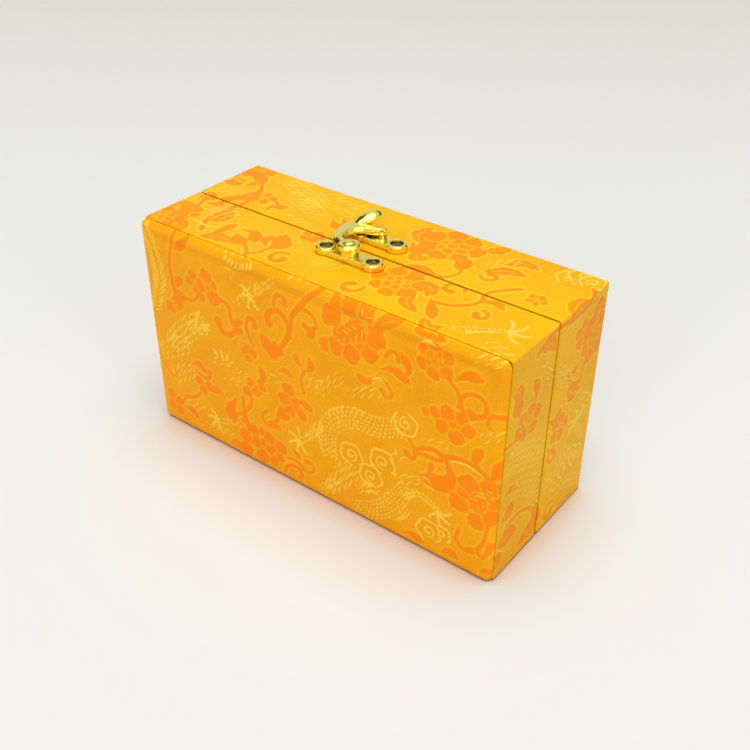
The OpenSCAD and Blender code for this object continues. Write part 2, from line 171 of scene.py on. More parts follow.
Inks = dict[Layer, Array]


class Motif:
    """One woven figure. It says where it reaches and how far inside its ink a point is."""

    def reach(self) -> tuple[Array, Array]:
        """Lowest and highest corner of the cloth that the motif touches."""
        raise NotImplementedError

    def ink(self, p: Array) -> Inks:
        """Distance inside the ink in mm, negative outside, for each layer it draws on."""
        raise NotImplementedError


@dataclass(frozen=True)
class Stroke(Motif):
    """A tapered brush line. Inside is its half width at the nearest place less the distance."""

    points: tuple[Point, ...]
    width: float = 1.3
    taper: Taper = Taper.TIP
    layer: Layer = Layer.FIGURE

    def curve(self) -> Array:
        """The stroke's middle line."""
        return smooth_line(self.points)

    def half(self, s: Array) -> Array:
        """Half width at the share s of the length."""
        shape = {
            Taper.EVEN: np.ones_like(s),
            Taper.TIP: (1 - 0.75 * s**1.5),
            Taper.BOTH: np.sin(np.pi * np.clip(s, 0.02, 0.98)) ** 0.6,
            Taper.DROP: np.sin(np.pi * np.clip(s, 0.01, 0.99) ** 1.8) ** 0.7 + 0.12,
            Taper.CLUB: 0.6 + 0.25 * s + 0.5 * np.clip(s, 0, 1) ** 9,
        }[self.taper]
        return self.width / 2 * shape

    def reach(self) -> tuple[Array, Array]:
        """The box round the line."""
        return box_round(self.curve(), self.width + OUTLINE_ROOM)

    def ink(self, p: Array) -> Inks:
        """Half width less distance."""
        dist, s, _, _ = nearest(self.curve(), p)
        return {self.layer: self.half(s) - dist}


@dataclass(frozen=True)
class Leaf(Motif):
    """A curved leaf with round lobes and faint veins."""

    points: tuple[Point, ...]
    width: float = 5.0
    lobes: int = 4

    def reach(self) -> tuple[Array, Array]:
        """The box round the leaf."""
        return box_round(smooth_line(self.points), self.width + OUTLINE_ROOM)

    def ink(self, p: Array) -> Inks:
        """A swelling half width with an arch for each lobe, less the distance."""
        dist, s, _, length = nearest(smooth_line(self.points), p)
        swell = np.sin(np.pi * np.clip(s, 0.01, 0.99) ** 0.8) ** 0.75
        arch = np.sqrt(np.abs(np.sin(np.pi * (s * self.lobes + 0.12))))
        half = self.width / 2 * swell * (0.68 + 0.4 * arch) + 0.2
        vein = np.where((s > 0.12) & (s < 0.75), dist - 0.3, 1.0)
        rib = 0.16 - np.abs(((s * length - 0.9 * dist) / 2.3) % 1.0 - 0.5) * 2.3
        rib = np.minimum(rib, np.minimum(half - dist - 0.4, dist - 0.3))
        return {Layer.FIGURE: np.minimum(half - dist, vein), Layer.PALE: np.minimum(rib, FAINT)}


@dataclass(frozen=True)
class Petals(Motif):
    """A blossom of round petals, parted by thin gaps of ground."""

    discs: tuple[tuple[float, float, float], ...]

    def reach(self) -> tuple[Array, Array]:
        """The box round all petals."""
        return box_round_discs(self.discs)

    def ink(self, p: Array) -> Inks:
        """The deepest disc wins. A gap runs where the two deepest are equal, a vein in each."""
        d = np.asarray(self.discs)
        q = p[:, None] - d[None, :, :2]
        a = np.arctan2(q[..., 1], q[..., 0])
        ragged = 1 + 0.07 * np.sin(4 * a + d[:, 0]) + 0.04 * np.sin(9 * a + d[:, 1])
        depth = d[:, 2] * ragged - np.hypot(q[..., 0], q[..., 1])
        best = np.sort(depth, axis=1)
        first = best[:, -1]
        gap = (first - best[:, -2]) * 0.5 - 0.36 if d.shape[0] > 1 else first
        vein = 0.15 - np.abs(first - 0.42 * d[depth.argmax(1), 2])
        vein = np.where(np.sin(3 * a[np.arange(len(p)), depth.argmax(1)]) > -0.3, vein, -2.0)
        return {Layer.FIGURE: np.minimum(first, gap), Layer.PALE: np.minimum(vein, FAINT)}


@dataclass(frozen=True)
class Flower(Motif):
    """A regular rosette: one or two rings of petals about a heart."""

    at: Point
    radius: float = 6.0
    petals: int = 5
    turn: float = 0.0
    flat: float = 1.0
    rings: int = 1

    def rosette(self) -> Petals:
        """Its petals, each a little uneven."""
        rows = [(*self.at, 0.2 * self.radius)]
        for ring in range(self.rings):
            share = (0.68, 0.4)[ring] if self.rings > 1 else 0.6
            size = (0.34, 0.25)[ring] if self.rings > 1 else 0.4
            count = self.petals - ring
            for k in range(count):
                a = 2 * math.pi * (k + 0.5 * ring) / count + math.radians(self.turn)
                uneven = 1 + 0.13 * math.sin(5.1 * k + 2.3 * ring + self.radius)
                r = self.radius * share * (1 + 0.06 * math.cos(3.7 * k))
                x, y = self.at[0] + r * math.cos(a), self.at[1] + self.flat * r * math.sin(a)
                rows.append((x, y, self.radius * size * uneven))
        return Petals(tuple(rows))

    def reach(self) -> tuple[Array, Array]:
        """The box round its petals."""
        return self.rosette().reach()

    def ink(self, p: Array) -> Inks:
        """As its petals say."""
        return self.rosette().ink(p)


@dataclass(frozen=True)
class Scroll(Motif):
    """A tendril that winds in to a round bud, or a plain spiral line."""

    at: Point
    radius: float
    turn: float
    width: float = 1.6
    hand: int = 1
    bud: float = 0.36
    turns: float = 0.78
    layer: Layer = Layer.FIGURE

    def curve(self) -> Array:
        """Points whose radius shrinks evenly as they wind in."""
        t = np.linspace(0, 1, 30)
        a = math.radians(self.turn) + self.hand * 2 * np.pi * self.turns * t
        r = self.radius * (1 - (0.72 if self.layer is Layer.PALE else 0.6) * t)
        return np.stack([self.at[0] + r * np.cos(a), self.at[1] + r * np.sin(a)], 1)

    def reach(self) -> tuple[Array, Array]:
        """A square round the scroll."""
        return box_round([self.at], self.radius + self.width + OUTLINE_ROOM)

    def ink(self, p: Array) -> Inks:
        """The spiral's stroke, joined with a disc at its inner end."""
        c = self.curve()
        dist, s, _, _ = nearest(c, p)
        half = self.width / 2 * (0.6 + 0.5 * s)
        disc = self.bud * self.radius - np.hypot(*(p - c[-1]).T)
        return {self.layer: np.maximum(half - dist, disc)}


@dataclass(frozen=True)
class Cloud(Motif):
    """A cloud of scalloped lobes, each with a spiral inside, a later lobe over an earlier.

    A lobe is its centre, its radius and the hand that its spiral winds to.
    """

    lobes: tuple[tuple[float, float, float, int], ...]
    turn: float = 0.0

    def reach(self) -> tuple[Array, Array]:
        """The box round all lobes."""
        return box_round_discs(self.lobes)

    def ink(self, p: Array) -> Inks:
        """A lobe's edge is a circle with five arches; inside it only its own lines show."""
        out = np.full(len(p), NO_INK)
        for x, y, size, hand in self.lobes:
            q = p - [x, y]
            r, a = np.hypot(*q.T), np.arctan2(q[:, 1], q[:, 0])
            edge = size * (0.9 + 0.13 * np.abs(np.sin(2.5 * (a - math.radians(self.turn)))))
            mouth = np.abs((a - math.radians(self.turn - 90) + np.pi) % (2 * np.pi) - np.pi)
            own = np.where(mouth > 0.45, 0.48 - np.abs(r - edge), NO_INK)
            wind = Scroll((x, y), 0.56 * size, self.turn + 250, 0.95, hand, 0.0, 1.15, Layer.PALE)
            own = np.maximum(own, wind.ink(p)[Layer.PALE])
            out = np.where(r < edge + 0.75, own, np.maximum(out, own))
        return {Layer.PALE: out}


@dataclass(frozen=True)
class Dashes(Motif):
    """Short brocading stitches in staggered rows along a line: scales, feathers, fur or hair.

    Each row has its own slant from the line, in degrees, and its stitches fill the row's height.
    """

    points: tuple[Point, ...]
    width: float = 8.0
    slants: tuple[float, ...] = (60, 90, 90, 90, 50)
    pitch: float = 1.8
    thick: float = 0.85
    taper: float = 0.45

    def reach(self) -> tuple[Array, Array]:
        """The box round the line and its stitches."""
        return box_round(smooth_line(self.points), self.width * 0.6 + 1)

    def ink(self, p: Array) -> Inks:
        """Half thickness of an ellipse along the stitch, less the distance across it."""
        dist, s, side, length = nearest(smooth_line(self.points), p)
        swell = np.sin(np.pi * np.clip(s, 0.03, 0.97)) ** 0.5
        half = self.width / 2 * (1 - self.taper + self.taper * swell)
        rows = len(self.slants)
        row = np.clip((side / half + 1) / 2 * rows, 0, rows - 1e-6)
        i = np.floor(row).astype(int)
        slant = np.radians(np.asarray(self.slants, float))[i]
        tall = 2 * half / rows
        across = (row - i - 0.5) * tall
        run = s * length - across / np.tan(slant) + 0.5 * (i % 2) * self.pitch
        j = np.floor(run / self.pitch)
        chance = np.modf(np.abs(np.sin(i * 127.1 + j * 311.7 + self.width)) * 437.5)[0]
        off = (run / self.pitch - j - 0.5 + 0.2 * (chance - 0.5)) * self.pitch
        long_half = tall / 2 / np.abs(np.sin(slant)) * (0.8 + 0.2 * chance)
        along = np.abs(across / np.sin(slant)) / long_half
        ink = self.thick / 2 * np.sqrt(np.clip(1 - along**2, 0, 1)) * (0.8 + 0.3 * chance)
        ink = ink - np.abs(off) * np.abs(np.sin(slant))
        ends = np.minimum(s, 1 - s) * length - 0.02
        ink = np.where(along < 1, ink, -1.0)
        return {Layer.PALE: np.minimum(ink, np.where((dist > half) | (ends < 0), -1.0, 3.0))}


@dataclass(frozen=True)
class Claw(Motif):
    """A dragon's foot: a stitched arm, a small palm and barred talons that fan from it."""

    at: Point
    turn: float
    size: float
    arm: float
    talons: int = 4

    def parts(self) -> list[Motif]:
        """Talons fan over 160 degrees and hook at their ends; the arm runs the other way."""
        out: list[Motif] = []
        for k in range(self.talons):
            a = math.radians(self.turn - 80 + 160 * k / (self.talons - 1))
            talon = self.spots((0.1, a), (0.5, a - 0.08), (0.8, a + 0.05), (1.0, a + 0.2))
            out.append(Dashes(talon, 2.3, (70,), 1.3, 0.8, 0.3))
            out.append(Stroke(talon, 1.15, Taper.TIP, Layer.PALE))
        back = math.radians(self.turn + 180)
        arm = self.spots((0.1, back), (self.arm * 0.5, back), (self.arm, back))
        out.append(Dashes(arm, 3.6, (62, 118), 1.5, 0.85, 0.3))
        return out

    def spots(self, *polar: Point) -> tuple[Point, ...]:
        """Places at shares of the foot's size and angles round its palm."""
        x, y = self.at
        return tuple(
            (x + r * self.size * math.cos(c), y + r * self.size * math.sin(c)) for r, c in polar
        )

    def reach(self) -> tuple[Array, Array]:
        """A square round the foot and arm."""
        return box_round([self.at], self.size * max(1.2, self.arm) + OUTLINE_ROOM)

    def ink(self, p: Array) -> Inks:
        """The nearest talon, stitch or palm."""
        lines = [part.ink(p)[Layer.PALE] for part in self.parts()]
        lines.append(0.13 * self.size - np.hypot(*(p - np.asarray(self.at)).T))
        return {Layer.PALE: np.max(lines, axis=0)}


@dataclass(frozen=True)
class Moved(Motif):
    """Another motif set down elsewhere, as a repeat of the weave."""

    motif: Motif
    shift: Point

    def reach(self) -> tuple[Array, Array]:
        """The first motif's box, carried along."""
        low, high = self.motif.reach()
        return low + self.shift, high + self.shift

    def ink(self, p: Array) -> Inks:
        """The first motif's ink at the place that it came from."""
        return self.motif.ink(p - self.shift)


@dataclass(frozen=True)
class Layout:
    """The figures of one stretch of cloth."""

    motifs: tuple[Motif, ...]

    def weave(self, p: Array) -> Inks:
        """The largest ink of all motifs at each point, worked out only near each motif.

        Args:
            p: places on the cloth in mm, (n, 2).

        Returns:
            For each layer the distance inside its figures, at least NO_INK.
        """
        out = {layer: np.full(len(p), NO_INK) for layer in Layer}
        for motif in self.motifs:
            lo, hi = motif.reach()
            near = np.flatnonzero(((p > lo) & (p < hi)).all(1))
            if near.size:
                for layer, ink in motif.ink(p[near]).items():
                    out[layer][near] = np.maximum(out[layer][near], ink)
        return out

    def repeated(self, *shifts: Point) -> "Layout":
        """The same figures once more at each shift."""
        return layout(*(Moved(motif, shift) for shift in shifts for motif in self.motifs))


def layout(*motifs: Motif) -> Layout:
    """A layout of the motifs."""
    return Layout(motifs)


def hair(root: Point, tip: Point, spread: float, turn: float = 22.0) -> Dashes:
    """A lock of hair from root to tip, its strokes a little off the lock's own line."""
    a, b = np.asarray(root), np.asarray(tip)
    n = np.array([a[1] - b[1], b[0] - a[0]]) / np.hypot(*(b - a))
    middle = (a + b) / 2 + n * 0.08 * spread
    rows = max(1, round(spread / 2.3))
    slants = tuple(turn + (10, 1, 7, -2, 4)[k % 5] for k in range(rows))
    return Dashes((root, tuple(middle), tip), spread, slants, 3.9, 0.72, 0.35)


def locks(*rows: tuple) -> Iterator[Dashes]:
    """Several locks of hair, each its root, tip, spread and turn."""
    return (hair(*row) for row in rows)


def scales(width: float, *points: Point) -> Dashes:
    """A dragon's body: long belly stitches, rows of scales and a fringe of fins."""
    return Dashes(points, width, (60, 85, 95, 85, 95, 50), 1.9, 1.15, 0.3)


def plume(width: float, *points: Point) -> Dashes:
    """A feathery stretch, its stitches leaning both ways from the middle."""
    return Dashes(points, width, (35, -35), 2.2, 0.8, 0.4)


def vine(width: float, *points: Point) -> Stroke:
    """A stem through the points."""
    return Stroke(points, width, Taper.EVEN)


def petal(width: float, *points: Point) -> Stroke:
    """A drop-shaped petal through the points, widest near its end."""
    return Stroke(points, width, Taper.DROP)


def hook(width: float, *points: Point) -> Stroke:
    """A tendril through the points, with a round bulb at its end."""
    return Stroke(points, width, Taper.CLUB)


def dab(width: float, *points: Point) -> Stroke:
    """A pale stitch or line through the points, thin at both ends."""
    return Stroke(points, width, Taper.BOTH, Layer.PALE)


def blossom(*discs: Triple) -> Petals:
    """A blossom of round petals, each a centre and a radius."""
    return Petals(discs)


# The walls are one cloth: up the left side, over the clasp side and down the right side.
# FRONT is drawn in mm from the box's left and floor, TOP from its left and front, SIDE from
# its front and floor.
FRONT = layout(
    # upper left: a stem with bud, leaf and plum blossom
    hook(1.9, (17, 87), (14.5, 79), (13.2, 72), (13.3, 66), (14.2, 61), (16.5, 58.5)),
    petal(3.2, (24, 86), (20.5, 81.5), (16.5, 78.5)),
    petal(3.4, (15.5, 63), (16.8, 66), (18.8, 66.8)),
    blossom((11.2, 53.6, 2.5), (15, 56.6, 2.9), (17.3, 60, 2.1), (13.4, 55.4, 1.8)),
    vine(1.2, (17, 61), (20, 60), (23.5, 60.5), (25.5, 62.5), (27, 65)),
    blossom(
        (22.6, 68.4, 1.9), (24.4, 70.6, 2.2), (31, 72.6, 2.8), (34.4, 70, 1.7),
        (34, 65.4, 3.1), (28.2, 68.4, 2.8), (28.2, 63.4, 1.5), (25.6, 65.4, 1.5),
        (31.4, 68.6, 1.6),
    ),
    vine(1.6, (37, 65.8), (39.5, 65.6), (41.2, 63.8), (41.6, 61), (42.4, 58)),
    hook(3.0, (45, 60.5), (43.5, 56), (40.5, 53), (37, 53.2), (35.4, 56.5)),
    petal(2.2, (42, 58.5), (45, 59.6), (47, 61)),
    petal(2.4, (42.6, 55.6), (45, 56), (46.6, 57.4)),
    # left middle: hooks over a seed head
    hook(1.9, (52, 53), (49.8, 56), (49, 60), (50.2, 63.4), (52.4, 63.6), (53, 61)),
    blossom((48, 50, 2.6), (50.9, 49.6, 2.1), (49, 47, 1.9), (46.6, 51.2, 1.4)),
    petal(4.2, (60, 51), (58.4, 55.5), (56, 59)),
    petal(2.6, (60.5, 51), (61.6, 55.5), (62, 58.8)),
    petal(1.8, (63, 53), (64.5, 55), (66, 55.4)),
    vine(
        1.9, (82, 85), (77, 80.4), (73, 75.6), (70.2, 71.5), (69.2, 67), (67, 61), (64, 56.4),
        (61.5, 52),
    ),
    hook(1.7, (62.2, 72.8), (63, 76), (65, 77.3), (67, 76.3), (67, 74.6)),
    hook(2.5, (68.8, 63), (67.6, 68), (64.4, 71.2), (60.6, 69.6), (59, 67), (59.8, 65)),
    hook(1.8, (71.5, 73.6), (75, 75.6), (78.8, 74.6), (80.2, 71.4), (78, 69.2), (75.4, 70)),
    petal(2.5, (79.6, 71), (78.4, 68), (76.4, 66)),
    # big peony, upper middle
    blossom(
        (86.4, 77.4, 4.0), (84, 66.2, 2.6), (88, 67, 3.2), (94.4, 66.6, 3.5),
        (101.6, 69.4, 3.2), (103.6, 76, 4.1), (93.6, 83, 3.6), (99.6, 83.4, 3.3),
        (90.6, 72.4, 3.3), (96.4, 75.4, 4.2), (88.2, 82.6, 2.4), (98, 71.2, 2.0),
    ),
    Dashes(((87, 71), (95, 76), (102, 83)), 9, (50, -50, 50), 2.6, 0.45, 0.5),
    petal(3.0, (106, 66), (111, 67.4), (117, 65)),
    petal(2.7, (114.6, 66), (116.4, 70), (113.6, 74.4)),
    hook(1.6, (107.6, 71), (109.6, 73.6), (112, 73.6), (112.4, 71.6)),
    Leaf(((104, 80), (108, 83), (113, 85)), 4, 3),
    # blossoms behind the right-hand figures
    Flower((125.4, 76.6), 6.6, 6, 30, 0.95, 2),
    Leaf(((118, 84), (123, 85), (128, 84)), 3.4, 3),
    hook(1.8, (134.4, 64), (136.6, 69.2), (141, 70.6), (144, 68), (142.8, 64), (139.4, 63)),
    petal(3.2, (133, 73), (137, 76), (142, 76.5)),
    vine(1.4, (131, 72), (134, 69), (135.4, 65), (137, 61)),
    blossom(
        (131.2, 60, 2.9), (135.6, 60, 2.6), (129.6, 54.6, 2.7), (134.2, 53, 3.0),
        (138.4, 57, 2.5), (138.8, 63, 1.9), (126.4, 58.6, 2.0), (123.2, 57.4, 1.5),
        (133.4, 56.8, 2.2),
    ),
    petal(3.2, (141.4, 43.6), (141.8, 48.4), (143.6, 52.4)),
    hook(1.6, (147, 60), (144.6, 62.4), (146, 65.6), (149, 66)),
    # stem, comma leaf and peony at the right
    hook(1.8, (116.4, 45.8), (119, 42), (120, 39), (118.6, 36.8), (116.4, 38.2)),
    vine(1.7, (120, 41), (122.4, 42.8), (126, 44.2), (130, 43.4), (132.6, 40)),
    vine(1.4, (119.6, 40), (124, 40.6), (128.4, 40.8), (130.4, 42.4)),
    vine(1.8, (130, 42.6), (134, 44.8), (139, 45.2), (144, 44), (149, 40)),
    dab(0.9, (131.4, 41.8), (135.4, 43.6), (140, 43.9), (145, 42)),
    petal(5.6, (130.6, 43.4), (133.4, 37.4), (131, 32.6), (122, 31.2)),
    hook(1.9, (128.4, 33), (125.6, 34.4), (126, 37.4)),
    blossom(
        (140, 36.8, 3.8), (136.8, 28.4, 3.7), (138.2, 32.4, 2.6), (143.4, 23.8, 3.2),
        (147.2, 38.6, 3.3), (148, 27.2, 3.2), (143.6, 30.6, 3.6), (148.8, 33, 2.6),
        (142.4, 34.4, 1.6),
    ),
    Dashes(((140, 27), (144, 32), (149, 38)), 6, (50, -50), 2.6, 0.45, 0.5),
    petal(3.6, (147, 41), (149, 45), (150, 50)),
    hook(2.1, (137.6, 17.4), (136.6, 13), (139, 9.8), (142.4, 10.6)),
    hook(1.7, (147.6, 24), (146.8, 17), (144.6, 12.2), (146.2, 9.8), (148.2, 12.6), (149, 16)),
    petal(2.8, (131, 3), (134, 5.4), (137.6, 4.4)),
    petal(2.2, (146, 3), (148, 4.6), (150, 4)),
    petal(2.6, (115, 3), (119, 4.6), (124, 3.4)),
    # orange figures of the lower middle
    petal(4.8, (41, 26), (37.6, 20), (38.6, 14)),
    hook(1.7, (41, 18.6), (42.8, 20.4), (44.4, 19), (44, 17.4)),
    vine(1.7, (44.6, 28), (44.4, 23), (45.4, 18), (46, 14)),
    petal(3.0, (35, 24), (31.6, 25.6), (28.6, 24)),
    hook(1.9, (56.6, 27.6), (53.8, 24.8), (54.6, 21.8), (58, 21.4), (61, 22.2)),
    vine(1.4, (57, 22.4), (60.6, 25), (61.6, 28.4), (63, 32)),
    blossom((67, 41, 2.8), (65.2, 36.6, 2.9), (64.2, 29.6, 2.7), (67, 32.6, 2.6), (69.6, 37.6, 2.2)),
    petal(3.4, (68.6, 35.6), (72, 33.8), (74, 31)),
    petal(2.6, (69.6, 37.4), (74, 38.6), (77.6, 36.4)),
    blossom((51.6, 34, 2.3), (47, 32, 2.2), (49, 36.6, 1.9), (54.6, 36.8, 1.8)),
    petal(3.0, (52, 38), (55.4, 41), (54.2, 45.4)),
    vine(1.4, (49, 30), (48, 26), (45, 22)),
    blossom(
        (44.4, 10.6, 3.2), (44.4, 4.8, 3.0), (48.8, 15.6, 2.4), (49.4, 10.4, 2.8),
        (56.6, 15, 2.8), (56.4, 10.4, 2.5), (61.4, 13.4, 2.9), (60.8, 8.6, 2.2),
        (52.4, 5, 3.0), (57.6, 5.4, 2.1), (53, 11.2, 2.0), (52.6, 16.6, 1.7),
    ),
    hook(1.7, (62.6, 2), (64.6, 6.6), (68.6, 8), (71, 6.2), (70.4, 3.6)),
    hook(1.7, (64.6, 10.2), (68.4, 11), (71.4, 9.8)),
    hook(1.6, (71.4, 8.4), (75, 8.6), (77, 11), (75.8, 13.4), (73.4, 12.6)),
    petal(2.8, (35.4, 3), (38.6, 4.8), (42, 3.2)),
    petal(2.0, (66.6, 16), (69, 14.4), (70.6, 12.6)),
    # lower left corner
    hook(1.8, (3, 26), (6.4, 22), (9.6, 22.6), (9.4, 25.4)),
    blossom((5, 12.4, 2.4), (8.6, 10.4, 2.2), (4.6, 7.4, 2.2), (9, 6.4, 2.0)),
    petal(3.0, (12, 9), (16, 9.6), (19, 7)),
    vine(1.4, (11, 11), (13.6, 15), (18, 16.6), (22, 20)),
    blossom((24, 22.6, 2.2), (27, 25.4, 2.0), (22, 26, 1.9)),
    # dragon's tail and mane at the left
    plume(8, (1, 84), (4.4, 76), (6.6, 67), (5.4, 58), (2, 49)),
    *locks(
        ((8, 36), (29, 54.6), 11, 16), ((2, 30), (20, 41), 9, 20), ((19, 47), (31, 51), 6, 14),
    ),
    dab(1.2, (23.6, 51), (24.6, 54.4), (26.2, 57.2)),
    dab(1.2, (27.6, 50), (29.6, 52.4), (31, 54)),
    hair((8, 21), (20, 30), 8, 20),
    hair((11, 12), (24, 12.6), 4, 30),
    Claw((30, 11), 200, 5.4, 1.7),
    # claw that reaches down from the upper middle
    Claw((52, 72.4), 222, 5.6, 2.6),
    Dashes(((40, 82.8), (46.5, 81.4), (53, 83.4)), 3.4, (72,), 1.7, 1.0, 0.3),
    hair((34, 84.6), (52, 86), 4, 30),
    hair((40, 80), (44, 76), 3, 30),
    # pale claw and fur between the orange figures
    dab(1.5, (31.8, 44), (33.2, 41)),
    dab(1.3, (35, 45), (36, 41)),
    dab(1.5, (38.4, 44.4), (38, 41)),
    *locks(
        ((29, 38.4), (43, 40.6), 4, 28), ((36, 31.6), (45, 34), 4, 30), ((41, 36), (48, 39), 4, 30),
    ),
    # small sprays in the open ground
    petal(2.6, (75, 52), (77.6, 54.6), (77, 58)),
    petal(2.2, (74, 53), (71.4, 55), (71.4, 57.6)),
    vine(1.2, (74.6, 52), (73, 47.6), (74, 43)),
    hook(1.5, (104.6, 62.6), (108.6, 61), (110.4, 57.8), (108.2, 56.2), (106.6, 58)),
    petal(2.4, (104, 61.6), (100.4, 59), (96.6, 60)),
    petal(2.6, (19, 32), (23, 33.6), (26.4, 31)),
    hook(1.4, (21, 30), (24.6, 28.6), (28, 29.6), (28.4, 32.4)),
    petal(2.2, (63, 47), (66, 48.6), (69, 47)),
    *locks(
        ((44, 66), (56, 78), 4, 24), ((67, 84), (78, 86), 3, 26), ((108, 33), (117, 35), 4, 24),
        ((122, 45), (132, 48), 4, 24), ((56, 44), (64, 42), 4, 24), ((23, 6), (38, 8), 4, 24),
        ((75, 24), (82, 34), 5, 22), ((121, 33), (127, 27), 4, 22),
    ),
    # dragon's head, body and claws
    scales(9.5, (85, 20), (83.6, 29), (87, 37), (95, 42), (105, 43), (114, 47.4)),
    *locks(
        ((80, 45), (91, 57), 6, 20), ((93, 51), (107, 57), 5, 24), ((74, 47), (82, 50), 5, 30),
    ),
    dab(1.0, (102, 60), (105, 62), (108, 61)),
    Cloud(((115.8, 49.2, 4.5, 1),), 200),
    Cloud(((94, 26.4, 4.6, 1), (107, 29.6, 5.0, -1), (102.2, 21.2, 4.7, -1)), 25),
    hair((83, 5), (97, 20.5), 8, 16),
    hair((80, 3), (90, 12), 6, 14),
    scales(8.6, (95, 3.4), (103, 6.4), (109, 11), (113.6, 17.6), (117.6, 25)),
    *locks(
        ((96, 12), (110, 19), 5, 24), ((87, 16), (94, 23), 4, 24), ((110, 31), (113, 38), 3, 24),
    ),
    dab(1.1, (98, 15), (101, 17.4), (104.6, 17)),
    dab(1.0, (99.4, 12.6), (102.6, 14.6), (106, 14)),
    dab(0.8, (111, 6), (115, 10), (117.4, 15)),
    dab(0.8, (113, 6.6), (116.6, 10.6), (119, 15)),
    hair((112, 25), (122, 29), 5, 20),
    Claw((71, 20.6), 225, 5.8, 2.6),
    dab(1.1, (69.8, 27.6), (70.8, 25), (71.2, 22)),
    Dashes(((116, 19), (121, 23.4), (126, 22.4), (130, 19.4)), 3.4, (55, 125), 1.5, 0.9, 0.3),
    Claw((129.6, 19.6), -62, 5.4, 0.5),
    Cloud(((131, 11.2, 3.4, -1), (125.8, 9.8, 4.7, 1)), 10),
    hair((143, 56), (151, 60), 5, 24),
    hair((137, 82), (150, 84), 4, 26),
    dab(1.0, (119.6, 80.6), (122.6, 82.2), (126, 81.2)),
)

TOP = layout(
    Flower((5, 57), 6.5, 5, 10, 0.8, 1),
    Leaf(((10, 54), (12, 49), (10, 44)), 4.2, 3),
    Scroll((4.5, 44.5), 2.8, 30),
    vine(1.2, (12, 50), (16, 46), (19, 42)),
    Flower((22.5, 39.5), 5.2, 5, 25, 0.9, 1),
    vine(1.2, (26, 41), (30, 39), (33, 36), (35, 38)),
    petal(2.4, (31, 31), (30, 36), (35, 39)),
    petal(3.8, (17, 37), (15, 33), (11, 30)),
    *locks(
        ((20, 57), (44, 47), 11), ((28, 48), (50, 40), 9), ((34, 60), (56, 54), 6),
        ((36, 34), (52, 32), 4), ((47, 49), (58, 47), 5),
    ),
    petal(4.4, (54, 41), (58, 38), (62, 41)),
    petal(2.4, (56, 44), (59, 42), (62, 44)),
    Flower((98, 50), 11.5, 7, 8, 0.92, 2),
    Leaf(((87, 46), (84, 51), (85, 57)), 4.6, 3),
    Leaf(((109, 54), (113, 58), (112, 61)), 4.4, 3),
    Leaf(((91, 40), (93, 36), (97, 38)), 4.2, 3),
    petal(4, (86, 44), (90, 40), (94, 42)),
    petal(4.4, (104, 43), (108, 40), (108, 45)),
    vine(1.2, (108, 40), (110, 36), (108, 31), (103, 30)),
    Leaf(((116, 42), (121, 46), (128, 47)), 4.4, 3),
    Leaf(((119, 50), (123, 54), (129, 53)), 4.0, 3),
    hair((114, 45), (122, 55), 6),
    Cloud(((138.9, 55.0, 4.2, 1), (142.3, 58.2, 4.8, 1), (146.5, 56.4, 4.2, -1),), 10),
    vine(1.5, (131, 39), (127, 35), (124, 30), (125, 24), (120, 18), (113, 16)),
    Scroll((114, 26), 4.2, 10, width=1.7, bud=0.34),
    Scroll((129, 18), 3.0, 100, hand=-1),
    Scroll((119, 40), 3.2, 200, bud=0.34),
    petal(2.8, (124, 24), (129, 27), (133, 25)),
    Flower((138, 36), 3.6, 5, 0, 0.9, 1),
    Flower((98, 19), 9.6, 7, 20, 0.9, 2),
    Leaf(((104, 24), (109, 22), (110, 18)), 5, 3),
    petal(4.6, (92, 26), (96, 30), (104, 30)),
    Leaf(((106, 17), (107, 11), (113, 8)), 4, 3),
    petal(3.4, (112, 17), (116, 12), (119, 8)),
    Scroll((88, 8.5), 4.0, 30, width=1.8, hand=-1, bud=0.34),
    Leaf(((117, 6), (121, 3), (124, 6)), 3.6, 3),
    Claw((141, 15.5), 30, 6.6, 2.6),
    dab(1, (139, 14), (134, 10), (130, 6)),
    hair((138, 6), (148, 4), 6),
    # left of the clasp, on the lid
    Leaf(((2, 27), (6, 29), (10, 27)), 5, 3),
    vine(1.5, (6, 28), (8, 22), (10, 16), (10, 8), (12, 3)),
    Leaf(((8, 20), (3, 18), (0, 14)), 4.2, 3),
    Leaf(((9, 14), (6, 17), (4, 21)), 3.2, 2),
    petal(3.6, (9, 24), (14, 26), (13, 30)),
    petal(5.4, (35, 13), (38, 10), (42, 8.5)),
    petal(4.2, (34, 16), (39, 17), (44, 12)),
    vine(1.2, (42, 9), (46, 6), (48, 3)),
    petal(5.6, (51, 11), (51, 16), (49, 22)),
    petal(3, (49, 12), (46, 15), (46, 19)),
    petal(3, (52, 12), (54, 15), (54, 19)),
    vine(1.2, (51, 12), (50, 7), (47, 4)),
    petal(3.2, (28, 6), (29, 11), (30, 18)),
    Leaf(((38, 8), (31, 7), (26, 4)), 5, 3),
    Scroll((58, 8.5), 4.2, 80, width=1.9),
    Flower((57, 27), 4.6, 5, 15, 0.9, 1),
    petal(3, (56, 22), (58, 26), (60, 28)),
    hair((68, 12), (80, 18), 7),
    dab(1, (14, 12), (22, 11), (29, 14)),
    hair((14, 20), (27, 24), 6),
)

